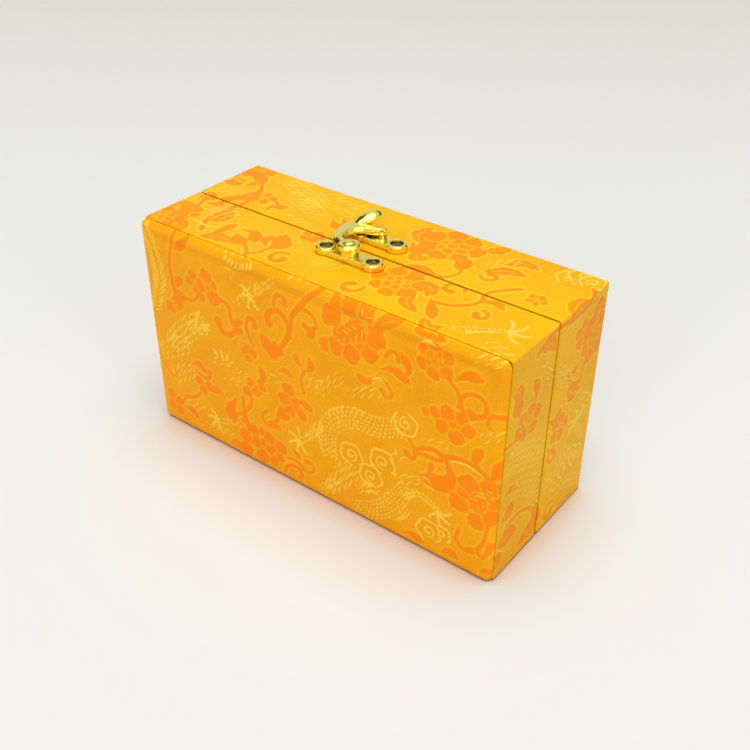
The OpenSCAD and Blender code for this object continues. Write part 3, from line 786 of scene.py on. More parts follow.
SIDE = layout(
    vine(1.8, (17, 80), (24, 83), (31, 83), (38, 82), (46, 82), (53, 86)),
    Leaf(((20, 80), (25, 80), (28, 76)), 4.5, 3),
    Leaf(((36, 84), (42, 86), (47, 84)), 4.6, 3),
    petal(5.6, (11, 72), (8, 68), (9, 63)),
    Leaf(((9, 74), (7, 71), (5, 72)), 3.6, 2),
    Flower((15, 57), 7.6, 6, 10, 0.72, 2),
    vine(1.2, (3, 54), (9, 54), (14, 55)),
    petal(3.4, (18, 62), (19, 67), (17, 71)),
    Flower((46.5, 73), 5.6, 5, 20, 0.95, 1),
    Flower((54.5, 68), 8.2, 7, 0, 1.1, 2),
    Leaf(((52, 77), (56, 79), (60, 76)), 4, 3),
    vine(1.6, (39, 61), (42, 56), (48, 54), (50, 60)),
    Leaf(((41, 55), (44, 51), (49, 51)), 5, 3),
    petal(2.6, (40, 61), (43, 60), (45, 62)),
    *locks(
        ((5, 47), (27, 38), 12), ((6, 49), (16, 52), 3), ((9, 34), (29, 24), 10),
        ((16, 27), (29, 16), 6), ((30, 68), (42, 56), 7), ((31, 78), (44, 80), 4),
        ((44, 48), (59, 38), 9), ((31, 24), (46, 10), 8), ((21, 76), (28, 64), 5),
    ),
    petal(3.6, (30, 48), (34, 46), (37, 49)),
    Flower((37.5, 41.5), 5.8, 5, 0, 1.0, 1),
    Scroll((35, 31.5), 3.0, 150),
    vine(1.2, (31, 36), (33, 34), (36, 35)),
    petal(3, (5, 34), (8, 35), (12, 33)),
    petal(5.4, (4, 24), (8, 25), (11, 28)),
    vine(1.4, (8, 20), (16, 20), (23, 17), (27, 11), (28, 9)),
    Leaf(((27, 16), (27, 8), (17, 5)), 6.6, 4),
    Leaf(((4, 14), (10, 15), (15, 14)), 7, 4),
    Scroll((38, 5), 4.0, 60, width=1.9),
    vine(1.2, (43, 2), (48, 3), (55, 2)),
    Claw((50, 36), 120, 6.0, 2.0),
    Cloud(((46.1, 19.0, 4.0, 1), (49.3, 21.9, 4.5, 1), (53.3, 20.2, 4.0, -1),), 10),
    hair((40, 22), (46, 30), 7),
    petal(3.6, (2, 4), (5, 7), (4, 11)),
    hair((46, 12), (59, 6), 7),
)


@dataclass
class Shell:
    """A closed surface in mm: its points, its faces, and values that its points carry."""

    points: Array
    faces: list[Array]
    carried: dict[str, Array] = field(default_factory=dict)

    def volume(self) -> float:
        """Sum of the pyramids from the origin to each face's fan of triangles."""
        total = 0.0
        for f in self.faces:
            p = self.points[f]
            for k in range(1, f.shape[1] - 1):
                total += float(np.einsum("ij,ij->", p[:, 0], np.cross(p[:, k], p[:, k + 1]))) / 6
        return total

    def outward(self) -> "Shell":
        """The same surface with its faces turned out."""
        if self.volume() < 0:
            self.faces = [f[:, ::-1] for f in self.faces]
        return self


def joined(shells: Sequence[Shell]) -> Shell:
    """Several closed surfaces as one, each turned outwards first.

    Args:
        shells: the surfaces.

    Returns:
        One surface, with the values that all of them carry.
    """
    start, faces = 0, []
    for shell in shells:
        shell.outward()
        faces += [f + start for f in shell.faces]
        start += len(shell.points)
    keys = set.intersection(*[set(s.carried) for s in shells])
    carried = {k: np.concatenate([s.carried[k] for s in shells]) for k in keys}
    return Shell(np.concatenate([s.points for s in shells]), faces, carried)


def quads(rows: int, cols: int, around: bool = False, over: bool = False, start: int = 0) -> Array:
    """Faces of a grid of points, row by row.

    Args:
        rows: rows of points.
        cols: points in a row.
        around: each row closes on itself.
        over: the last row joins the first.
        start: index of the first point.

    Returns:
        Four indices for each face.
    """
    i = np.arange(rows * cols).reshape(rows, cols) + start
    i = np.concatenate([i, i[:, :1]], 1) if around else i
    i = np.concatenate([i, i[:1]], 0) if over else i
    return np.stack([i[:-1, :-1], i[:-1, 1:], i[1:, 1:], i[1:, :-1]], -1).reshape(-1, 4)


def fan(ring: Array, tip: int) -> Array:
    """Triangles from a closed ring of point indices to one point."""
    return np.stack([ring, np.roll(ring, -1), np.full(len(ring), tip)], 1)


def rim_of(ids: Array) -> Array:
    """Indices round the edge of a grid of point indices."""
    return np.concatenate([ids[:, 0], ids[-1, 1:], ids[-2::-1, -1], ids[0, -2:0:-1]])


def full_turn(count: int) -> Array:
    """Even angles once round."""
    return np.linspace(0, 2 * np.pi, count, endpoint=False)


def capped(rings: Array) -> Shell:
    """Skin through rings of points, each end closed to its own centre.

    Args:
        rings: the rings in order, (m, n, 3).

    Returns:
        The closed surface.
    """
    m, n, _ = rings.shape
    points = np.vstack([rings.reshape(-1, 3), rings[0].mean(0), rings[-1].mean(0)])
    ids = np.arange(m * n).reshape(m, n)
    faces = [quads(m, n, around=True), fan(ids[0][::-1], m * n), fan(ids[-1], m * n + 1)]
    return Shell(points, faces)


def linked(name: str, data: bpy.types.ID) -> Object:
    """A new object of the data in the scene."""
    obj = bpy.data.objects.new(name, data)
    bpy.context.scene.collection.objects.link(obj)
    return obj


def put(name: str, shell: Shell, body: str, slot: str, *nodes: str) -> Object:
    """Makes the mesh object of a surface and hands it to its body.

    Args:
        name: the piece's name.
        shell: its surface in mm.
        body: the body that it moves with, or nothing, which leaves it on no body.
        slot: the record's material slot; not used.
        nodes: the solids that it stands for.

    Returns:
        The object, at the origin.
    """
    shell.outward()
    mesh = bpy.data.meshes.new(name)
    flat = np.concatenate([f.ravel() for f in shell.faces])
    sizes = np.concatenate([np.full(len(f), f.shape[1]) for f in shell.faces])
    starts = np.concatenate([[0], np.cumsum(sizes)[:-1]])
    mesh.vertices.add(len(shell.points))
    mesh.vertices.foreach_set("co", (shell.points * MM).ravel())
    mesh.loops.add(len(flat))
    mesh.loops.foreach_set("vertex_index", flat.astype(np.int32))
    mesh.polygons.add(len(sizes))
    mesh.polygons.foreach_set("loop_start", starts.astype(np.int32))
    mesh.polygons.foreach_set("use_smooth", np.ones(len(sizes), bool))
    mesh.update(calc_edges=True)
    for key, values in shell.carried.items():
        kind = "FLOAT" if values.ndim == 1 else "FLOAT_VECTOR"
        layer = mesh.attributes.new(key, kind, "POINT")
        layer.data.foreach_set("value" if values.ndim == 1 else "vector", values.ravel())
    obj = linked(name, mesh)
    if body:
        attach(obj, body)
    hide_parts(*nodes)
    log.info("%s: %d points, %d faces", name, len(shell.points), len(sizes))
    return obj


def dyed(p: Array, weave: Inks) -> dict[str, Array]:
    """The values that a point of brocade carries: its place on the cloth and its inks."""
    cloth = np.column_stack([p, np.zeros(len(p))])
    return {"cloth": cloth, **{layer.value: ink for layer, ink in weave.items()}}


def ripple(x: Array, y: Array, seed: int, size: float) -> Array:
    """Soft hand-made unevenness, from -1 to 1: the mean of six slanting waves.

    Args:
        x: first coordinate in mm.
        y: second coordinate in mm.
        seed: picks the waves' directions, lengths and phases.
        size: about how long a wave is, in mm.

    Returns:
        The height at each place.
    """
    rng = np.random.default_rng(seed)
    out = np.zeros(np.broadcast(x, y).shape)
    for _ in range(6):
        a, k = rng.uniform(0, np.pi), 2 * np.pi / (size * rng.uniform(0.7, 1.5))
        out += np.sin(k * (x * math.cos(a) + y * math.sin(a)) + rng.uniform(0, 6.28))
    return out / 6


def graded(size: float, pitch: float, fine: Sequence[float]) -> Array:
    """Samples from 0 to size, with fine ones packed at both ends.

    Args:
        size: the last sample.
        pitch: the step between the ends.
        fine: the samples next to an end, as distances from it.

    Returns:
        The samples in order.
    """
    ends = np.asarray(fine)
    count = max(2, round((size - 2 * ends[-1]) / pitch) + 1)
    inner = np.linspace(ends[-1], size - ends[-1], count)
    return np.concatenate([ends[:-1], inner, size - ends[:-1][::-1]])


@dataclass
class Slab:
    """A sheet over a flat form, such as a padded panel: a fine face, a skirt and a plain back.

    The face is a grid bent to a rectangle with round corners. Its height over the back plane
    is a function of the place and of e, the distance in from the edge. The skirt's rings are
    insets and shares of the rim's height. Part says how far each place of the rim opens, which
    moves the rings whose inset is less than loose.
    """

    length: float
    height: float
    back: float
    way: int
    corner: float
    pitch: float
    skirt: tuple[tuple[float, float], ...]
    rise: Callable[[Array, Array, Array], Array]
    part: Callable[[Array], Array] = lambda flat: np.ones(len(flat))
    fine: tuple[float, ...] = (0, 0.04, 0.12, 0.26, 0.46, 0.72, 1.02, 1.36)
    loose: float = 2.0

    def outline(self) -> tuple[Array, Array, Array]:
        """The face's grid, bent at its corners.

        In a corner's square a point at shares u and v of the radius moves to
        u times the root of 1 - v*v/2, and v alike, which bends the square to a quarter disc.

        Returns:
            Places x and z from the lower left corner, and e, for the whole grid.
        """
        gx, gz = np.meshgrid(
            graded(self.length, self.pitch, self.fine),
            graded(self.height, self.pitch, self.fine),
            indexing="ij",
        )
        ax, az = np.minimum(gx, self.length - gx), np.minimum(gz, self.height - gz)
        r = self.corner
        u, v = np.clip((r - ax) / r, 0, 1), np.clip((r - az) / r, 0, 1)
        bx = np.where((u > 0) & (v > 0), r - r * u * np.sqrt(1 - v**2 / 2), ax)
        bz = np.where((u > 0) & (v > 0), r - r * v * np.sqrt(1 - u**2 / 2), az)
        inside = r - r * np.sqrt(np.maximum(u**2 + v**2 - (u * v) ** 2, 0))
        e = np.where((u > 0) & (v > 0), inside, np.minimum(ax, az))
        x = np.where(gx < self.length / 2, bx, self.length - bx)
        z = np.where(gz < self.height / 2, bz, self.height - bz)
        return x, z, e

    def shell(self) -> tuple[Shell, Array]:
        """The face, the skirt's rings under its rim and a fan for the back.

        Returns:
            The closed surface, and the place in mm of each point on the flat cloth.
        """
        x, z, e = self.outline()
        nx, nz = x.shape
        ids = np.arange(nx * nz).reshape(nx, nz)
        rim = rim_of(ids)
        flat = np.stack([x.ravel(), z.ravel()], 1)
        face = np.column_stack([flat[:, 0], self.rise(x, z, e).ravel(), flat[:, 1]])
        middle = np.array([self.length / 2, self.height / 2])
        loops = []
        gape = self.part(flat[rim])
        for inset, share in self.skirt:
            shift = inset * (gape if inset < self.loose else np.ones(len(rim)))
            p = middle + (flat[rim] - middle) * (1 - shift[:, None] / middle)
            loops.append(np.column_stack([p[:, 0], share * face[rim, 1], p[:, 1]]))
        points = np.vstack([face, *loops, [[middle[0], 0.0, middle[1]]]])
        first = len(face)
        n = len(rim)
        join = np.stack(
            [rim, np.roll(rim, -1), first + np.roll(np.arange(n), -1), first + np.arange(n)], 1
        )
        last = first + n * (len(loops) - 1) + np.arange(n)
        faces = [
            quads(nx, nz),
            join,
            quads(len(loops), n, around=True, start=first),
            fan(last, len(points) - 1),
        ]
        cloth = points[:, [0, 2]].copy()
        points = np.column_stack(
            [points[:, 0] - self.length / 2, self.back + self.way * points[:, 1], points[:, 2]]
        )
        return Shell(points, faces), cloth


class Side(Enum):
    """The four sides of the box, in the order in which a cloth goes round it."""

    LEFT = 0
    CLASP = 1
    RIGHT = 2
    HINGE = 3


@dataclass
class Track:
    """Ways round the box at any inset from its outer faces, with small round corners."""

    length: float = LENGTH
    height: float = HEIGHT
    corner: float = 0.8
    inner_corner: float = 0.35
    hem: float = 0.4
    corner_steps: int = 6

    def lay(self, e: Array, sides: Sequence[Side], pitch: float) -> tuple[Array, Array, Array]:
        """Places along the way for each inset.

        A straight is an even step between two corners' ends. A corner is a quarter circle
        whose radius shrinks with the inset, and past it a small fillet the other way.

        Args:
            e: insets in mm, (t,).
            sides: the sides passed in turn. All four make a closed way.
            pitch: step along the way in mm.

        Returns:
            x and z of each point, and s, the way travelled, each (s, t).
        """
        r = np.where(e < self.corner - self.inner_corner, self.corner - e, self.inner_corner)
        half, closed = self.length / 2, len(sides) == 4
        keep = e + r
        foot = keep if closed else np.maximum(self.hem, e)
        low_x = keep if closed else np.where(e > 1, e, 0)
        h, full = self.height, self.length
        share = np.linspace(0, 1, self.corner_steps)[1:-1, None]
        xs, zs, ss = [], [], []
        for k, side in enumerate(sides):
            long_side = side in (Side.CLASP, Side.HINGE)
            n = round((full if long_side else h) / pitch)
            t = np.linspace(0, 1, n)[:, None]
            if side is Side.LEFT:
                x, z = -half + e + 0 * t, foot + (h - keep - foot) * t
                s = z
            elif side is Side.CLASP:
                x, z = -half + keep + (full - 2 * keep) * t, h - e + 0 * t
                s = h + x + half
            elif side is Side.RIGHT:
                x, z = half - e + 0 * t, h - keep + (foot - h + keep) * t
                s = h + full + h - z
            else:
                x, z = half - low_x + (2 * low_x - full) * t, e + 0 * t
                s = 2 * h + full + half - x
            xs.append(x)
            zs.append(z)
            ss.append(s)
            if closed or k < len(sides) - 1:
                a = np.radians(180 - 90 * (side.value + share))
                cx = -half + keep if side in (Side.LEFT, Side.HINGE) else half - keep
                cz = h - keep if side in (Side.LEFT, Side.CLASP) else keep
                xs.append(cx + r * np.cos(a))
                zs.append(cz + r * np.sin(a))
                ss.append(s[-1] + (2 * keep) * share)
        return np.concatenate(xs), np.concatenate(zs), np.concatenate(ss)


def wall_weave(s: Array, t: Array) -> Inks:
    """Figures of the wall cloth: the clasp side's, and the sides' own where it folds down.

    The left side repeats the right side's figures, raised by LEFT_LIFT, and once more below.

    Args:
        s: way round the box from the foot of its left side, in mm.
        t: depth from the front, in mm.

    Returns:
        For each layer the distance inside its figures.
    """
    left = SIDE.repeated((0, LEFT_LIFT), (0, LEFT_LIFT - HEIGHT))
    sheets = [
        TOP.weave(np.stack([s - HEIGHT, t], 1)),
        SIDE.weave(np.stack([t, WAY_TO_HINGE - s], 1)),
        left.weave(np.stack([DEPTH - t, s], 1)),
    ]
    return {layer: np.max([w[layer] for w in sheets], axis=0) for layer in Layer}


def hinge_weave(s: Array, t: Array) -> Inks:
    """Figures of the hinge side's strip: the clasp side's again, turned end for end."""
    return TOP.weave(np.stack([s - WAY_TO_HINGE, DEPTH - t], 1))


@dataclass
class WallCloth:
    """Brocade over a tray's walls, turned in under its closed face and over its rim.

    A profile of insets and depths is carried along the track. The fine outer skin and a
    plain inner skin share their ends, so the cloth is closed.
    """

    closed_y: float
    rim_y: float
    sides: tuple[Side, ...]
    weave: Callable[[Array, Array], Inks]
    seed: int
    pitch: float = 0.42
    thick: float = 0.36
    rim_wall: float = 2.8
    turn_in: float = 8.0
    edge_r: float = 0.75
    rim_r: float = 0.75
    inner_r: float = 0.45
    sway: float = 0.16

    def profiles(self) -> tuple[Array, Array]:
        """Straight stretches and quarter rounds from the closed face to the rim.

        Returns:
            Outer and inner skin as rows of inset and depth.
        """
        d = 1 if self.rim_y > self.closed_y else -1
        a, b, t, w = self.closed_y, self.rim_y, self.thick, self.rim_wall
        q = np.radians(np.linspace(0, 90, 7)[1:-1])
        er, rr, ir = self.edge_r, self.rim_r, self.inner_r
        wall = np.linspace(er, abs(b - a) - rr, round(abs(b - a) / self.pitch))
        outer = [
            np.stack([np.linspace(self.turn_in, er, 6), np.full(6, a)], 1),
            np.stack([er - er * np.sin(q), a + d * (er - er * np.cos(q))], 1),
            np.stack([0 * wall, a + d * wall], 1),
            np.stack([rr - rr * np.cos(q), b - d * (rr - rr * np.sin(q))], 1),
            np.stack([np.linspace(rr, w - ir, 5), np.full(5, b)], 1),
            np.stack([w - ir + ir * np.sin(q), b - d * (ir - ir * np.cos(q))], 1),
            np.stack([np.full(9, w), b - d * np.linspace(ir, self.turn_in, 9)], 1),
        ]
        inner = [
            (self.turn_in, a + d * t), (1.0, a + d * t), (t, a + d * 0.9), (t, b - d * 0.9),
            (0.8, b - d * t), (w - 0.8, b - d * t), (w - t, b - d * 0.9),
            (w - t, b - d * self.turn_in),
        ]
        return np.concatenate(outer), np.array(inner)

    def shell(self) -> Shell:
        """Both skins, joined along the two hems and across the two ends.

        Slow waves push the outer skin off the wall, the way being the difference to the same
        track a little further in. Slack lets the rim's edge wander.

        Returns:
            The closed cloth with its figures.
        """
        outer, inner = self.profiles()
        track, probe = Track(), 0.1
        x, z, s = track.lay(outer[:, 0], self.sides, self.pitch)
        x2, z2, _ = track.lay(outer[:, 0] + probe, self.sides, self.pitch)
        depth = np.broadcast_to(outer[:, 1], x.shape)
        t = depth - FRONT_Y
        on_wall = np.clip((0.6 - outer[:, 0]) / 0.6, 0, 1)
        push = self.sway * (0.5 + 0.5 * ripple(s, t, self.seed, 34)) * on_wall
        push = push + 0.05 * ripple(s, t, self.seed + 1, 9) * on_wall
        x, z = x + (x - x2) / probe * push, np.maximum(z + (z - z2) / probe * push, 0)
        way = np.sign(self.closed_y - self.rim_y)
        slack = 0.10 * (1 + ripple(s, 0 * s, self.seed + 2, 17))
        depth = depth + way * slack * np.exp(-np.abs(depth - self.rim_y) / 1.4)
        u, v, _ = track.lay(inner[:, 0], self.sides, self.pitch)
        n, m, k = x.shape[0], x.shape[1], u.shape[1]
        points = np.concatenate(
            [
                np.stack([x, depth, z], -1).reshape(-1, 3),
                np.stack([u, np.broadcast_to(inner[:, 1], u.shape), v], -1).reshape(-1, 3),
            ]
        )
        a = np.arange(n * m).reshape(n, m)
        b = np.arange(n * k).reshape(n, k) + n * m
        faces = [quads(n, m), quads(n, k, start=n * m)[:, ::-1]]
        for i, j in ((0, 0), (-1, -1)):
            hem = np.stack([a[:-1, i], a[1:, i], b[1:, j], b[:-1, j]], 1)
            faces.append(hem[:, ::-1] if i else hem)
        gap = np.abs(outer[:, None] - inner[None]).sum(2)
        near = np.maximum.accumulate(gap.argmin(1))
        near[0], near[-1] = 0, k - 1
        for row in (0, -1):
            cap = np.stack([a[row, :-1], a[row, 1:], b[row, near[1:]], b[row, near[:-1]]], 1)
            same = near[1:] == near[:-1]
            for part in (cap[same][:, :3], cap[~same]):
                if len(part):
                    faces.append(part if row else part[:, ::-1])
        cloth = np.stack([s.ravel(), t.ravel()], 1)
        ink = self.weave(cloth[:, 0], cloth[:, 1])
        plain = np.zeros((n * k, 2))
        ink = {layer: np.concatenate([ink[layer], np.full(n * k, NO_INK)]) for layer in Layer}
        return Shell(points, faces, dyed(np.concatenate([cloth, plain]), ink))


@dataclass
class Lining:
    """A satin-covered card ring inside a tray's walls: a closed profile on a closed track."""

    floor_y: float
    rim_y: float
    inset: float = 2.42
    card: float = 0.88
    rebate: float = 0.42
    drop: float = 1.5
    turn_in: float = 8.0
    gap: float = 0.05
    pitch: float = 1.2

    def shell(self) -> Shell:
        """Profile: up the inner face, over a round rim, down the rebated outer face.

        Returns:
            The closed ring, its satin laid along the way and the depth.
        """
        d = 1 if self.rim_y > self.floor_y else -1
        top, step = self.rim_y - d * self.drop, self.rim_y - d * (self.turn_in + 2 * self.gap)
        foot = self.floor_y + d * self.gap
        face, back = self.inset + self.card, self.inset + self.rebate
        mid, r = (face + back) / 2, (face - back) / 2
        q = np.radians(np.linspace(0, 180, 7))
        inner = np.linspace(foot, top - d * r, 14)
        rows = np.concatenate(
            [
                np.stack([np.full(14, face), inner], 1),
                np.stack([mid + r * np.cos(q), top - d * r + d * r * np.sin(q)], 1)[1:],
                [[back, step], [self.inset, step], [self.inset, foot]],
            ]
        )
        x, z, s = Track().lay(rows[:, 0], tuple(Side), self.pitch)
        depth = np.broadcast_to(rows[:, 1], x.shape)
        points = np.stack([x, depth, z], -1).reshape(-1, 3)
        cloth = np.stack([s.ravel(), depth.ravel(), 0 * s.ravel()], 1)
        return Shell(points, [quads(*x.shape, around=True, over=True)], {"cloth": cloth})


@dataclass
class Cushion:
    """A satin cushion on a tray's floor, with a seam round it and sides that pull in.

    At shares u and v of its half sizes, x is u times the half length less a bow in v, and z
    alike. The cover rises steeply from the seam, then swells to the middle, with creases that
    run in from the seam and die away.
    """

    length: float
    height: float
    middle: float
    floor_y: float
    way: int
    seed: int
    thick: float = 6.0
    edge: float = 2.7
    seam: float = 1.4
    pull: float = 0.6
    pitch: float = 0.8
    lift: float = 0.04
    cord_r: float = 0.55
    growth: float = 8.0
    drawn_in: Triple = (0.99, 0.85, 0.985)
    voxel: float = 0.011
    pressure: float = 4.0
    frames: int = 20
    cap: float = 1.7

    def place(self, u: Array, v: Array) -> tuple[Array, Array]:
        """x and z for shares of the half sizes."""
        return (
            u * (self.length / 2 - self.pull * (1 - v**2) * u**2),
            v * (self.height / 2 - self.pull * (1 - u**2) * v**2),
        )

    def shares(self, size: float) -> Array:
        """Samples from -1 to 1, a little closer near both ends."""
        t = np.linspace(-1, 1, round(size / self.pitch))
        return np.sin(t * np.pi / 2) * 0.35 + t * 0.65

    def shell(self) -> Shell:
        """The upper and lower cover, which share the seam's ring of points.

        Returns:
            The closed cover, its satin laid along x and z.
        """
        u, v = np.meshgrid(self.shares(self.length), self.shares(self.height), indexing="ij")
        x, z = self.place(u, v)
        e = np.minimum((1 - np.abs(u)) * self.length / 2, (1 - np.abs(v)) * self.height / 2)
        swell = np.cos(u * np.pi / 2) ** 0.9 * np.cos(v * np.pi / 2) ** 0.9
        lip = np.sqrt(1 - (1 - np.clip(e / 3.6, 0, 1)) ** 2)
        around = np.where((1 - np.abs(u)) * self.length < (1 - np.abs(v)) * self.height, z, x)
        crease = ripple(around * 3.2, e * 0.25, self.seed, 18) * np.exp(-e / 9) * lip * 0.7
        slack = 0.4 * ripple(x, z, self.seed + 1, 24) * swell
        top = self.seam + (self.edge - self.seam) * lip
        top = top + (self.thick - self.edge) * swell + crease + slack
        low = self.seam * (1 - lip) ** 1.5 + self.lift
        ids = np.arange(u.size)
        rim = rim_of(ids.reshape(u.shape))
        under = ids + u.size
        under[rim] = rim
        y = np.concatenate([top.ravel(), low.ravel()])
        flat = np.stack([np.tile(x.ravel(), 2), np.tile(z.ravel(), 2)], 1)
        points = np.column_stack(
            [flat[:, 0], self.floor_y + self.way * y, self.middle + flat[:, 1]]
        )
        keep = np.ones(len(points), bool)
        keep[u.size + rim] = False
        new = np.cumsum(keep) - 1
        grid = quads(*u.shape)
        faces = [new[grid], new[under[grid][:, ::-1]]]
        cloth = np.column_stack([flat, np.zeros(len(flat))])
        return Shell(points[keep], faces, {"cloth": cloth[keep]})

    def swell(self, cover: Shell) -> Shell:
        """Lets the cover swell by cloth simulation at several times its size.

        The cover is drawn in a little, remeshed, blown up with gravity off and scaled back.
        No point moves further than the cap, and none leaves the floor or the cushion's height.

        Args:
            cover: the closed cover in mm.

        Returns:
            The swollen cover in mm.
        """
        scene = bpy.context.scene
        grow = self.growth * MM
        centre = np.array([0.0, self.floor_y, self.middle])
        local = (cover.points - centre) * self.drawn_in * grow
        drawn = bpy.data.meshes.new("swelling")
        drawn.from_pydata(local.tolist(), [], np.concatenate(cover.faces).tolist())
        body = linked("swelling", drawn)
        voxels = body.modifiers.new("voxels", "REMESH")
        voxels.mode, voxels.voxel_size = "VOXEL", self.voxel
        start = self.baked(body)
        body.modifiers.remove(voxels)
        body.data = start
        cloth = body.modifiers.new("cloth", "CLOTH").settings
        cloth.quality, cloth.mass = 6, 0.3
        cloth.tension_stiffness = cloth.compression_stiffness = 12
        cloth.bending_stiffness = 0.3
        cloth.use_pressure, cloth.uniform_pressure_force = True, self.pressure
        cloth.effector_weights.gravity = 0
        for step in range(1, self.frames + 1):
            scene.frame_set(step)
        end = self.baked(body)
        scene.frame_set(1)
        bpy.data.objects.remove(body)
        p, q = (np.empty(len(start.vertices) * 3) for _ in range(2))
        start.vertices.foreach_get("co", p)
        end.vertices.foreach_get("co", q)
        p, move = p.reshape(-1, 3) / grow, (q - p).reshape(-1, 3) / grow
        far = np.linalg.norm(move, axis=1)
        log.info("cushion swells %.2f mm, at most %.2f", float(np.median(far)), far.max())
        p += move * np.minimum(1, self.cap / np.maximum(far, 1e-9))[:, None]
        rise = np.maximum(p[:, 1] * self.way, self.lift)
        p[:, 1] = self.way * np.minimum(rise, rise * self.thick / rise.max())
        half = np.array([self.length, self.height]) / 2
        p[:, [0, 2]] *= half / np.abs(p[:, [0, 2]]).max(0)
        faces = np.empty(len(start.polygons) * 4, np.int32)
        start.polygons.foreach_get("vertices", faces)
        flat = np.column_stack([p[:, 0], p[:, 2], 0 * p[:, 0]])
        return Shell(p + centre, [faces.reshape(-1, 4)], {"cloth": flat})

    @staticmethod
    def baked(body: Object) -> bpy.types.Mesh:
        """A new mesh of the object as its modifiers leave it."""
        graph = bpy.context.evaluated_depsgraph_get()
        return bpy.data.meshes.new_from_object(body.evaluated_get(graph))

    def piping(self, cover: Shell) -> Shell:
        """A satin-covered cord along the seam, laid on the cover's widest line.

        Each place of the seam takes the nearest point of the cover at the seam's height, and
        the ring is smoothed before a circle is carried round it.

        Args:
            cover: the cover in mm.

        Returns:
            The closed cord, its satin laid along it and round it.
        """
        t = np.linspace(-1, 1, 90, endpoint=False)
        one = np.ones_like(t)
        x, z = self.place(np.concatenate([t, one, -t, -one]), np.concatenate([-one, t, one, -t]))
        height = self.floor_y + self.way * self.seam
        seam = np.stack([x, np.full_like(x, height), self.middle + z], 1)
        band = cover.points[np.abs(cover.points[:, 1] - seam[0, 1]) < 1.2]
        path = band[np.linalg.norm(band[None] - seam[:, None], axis=2).argmin(1)]
        path[:, 1] = seam[:, 1]
        for _ in range(6):
            path = (np.roll(path, 1, 0) + 2 * path + np.roll(path, -1, 0)) / 4
        ahead = np.roll(path, -1, 0) - np.roll(path, 1, 0)
        ahead /= np.linalg.norm(ahead, axis=1)[:, None]
        side = np.cross(ahead, [0.0, 1.0, 0.0])
        a = full_turn(12)[:, None]
        circle = np.cos(a) * side[:, None] + np.sin(a) * [0.0, 1.0, 0.0]
        points = path[:, None] + self.cord_r * circle
        run = np.cumsum(np.linalg.norm(ahead, axis=1))[:, None] + 0 * a.T
        lay = np.stack([run, 0.5 * a.T + 0 * run, 0 * run], -1).reshape(-1, 3)
        faces = quads(len(path), len(a), around=True, over=True)
        return Shell(points.reshape(-1, 3), [faces], {"cloth": lay})


def turned(profile: Array) -> Shell:
    """A closed profile of radius and height, turned round the upright axis."""
    a = full_turn(96)[:, None]
    r, h = profile[:, 0][None], profile[:, 1][None]
    points = np.stack([r * np.cos(a), r * np.sin(a), h + 0 * a], -1)
    return Shell(points.reshape(-1, 3), [quads(len(a), len(profile), around=True, over=True)])


Socket = bpy.types.NodeSocket
Value = Socket | float | tuple[float, ...]


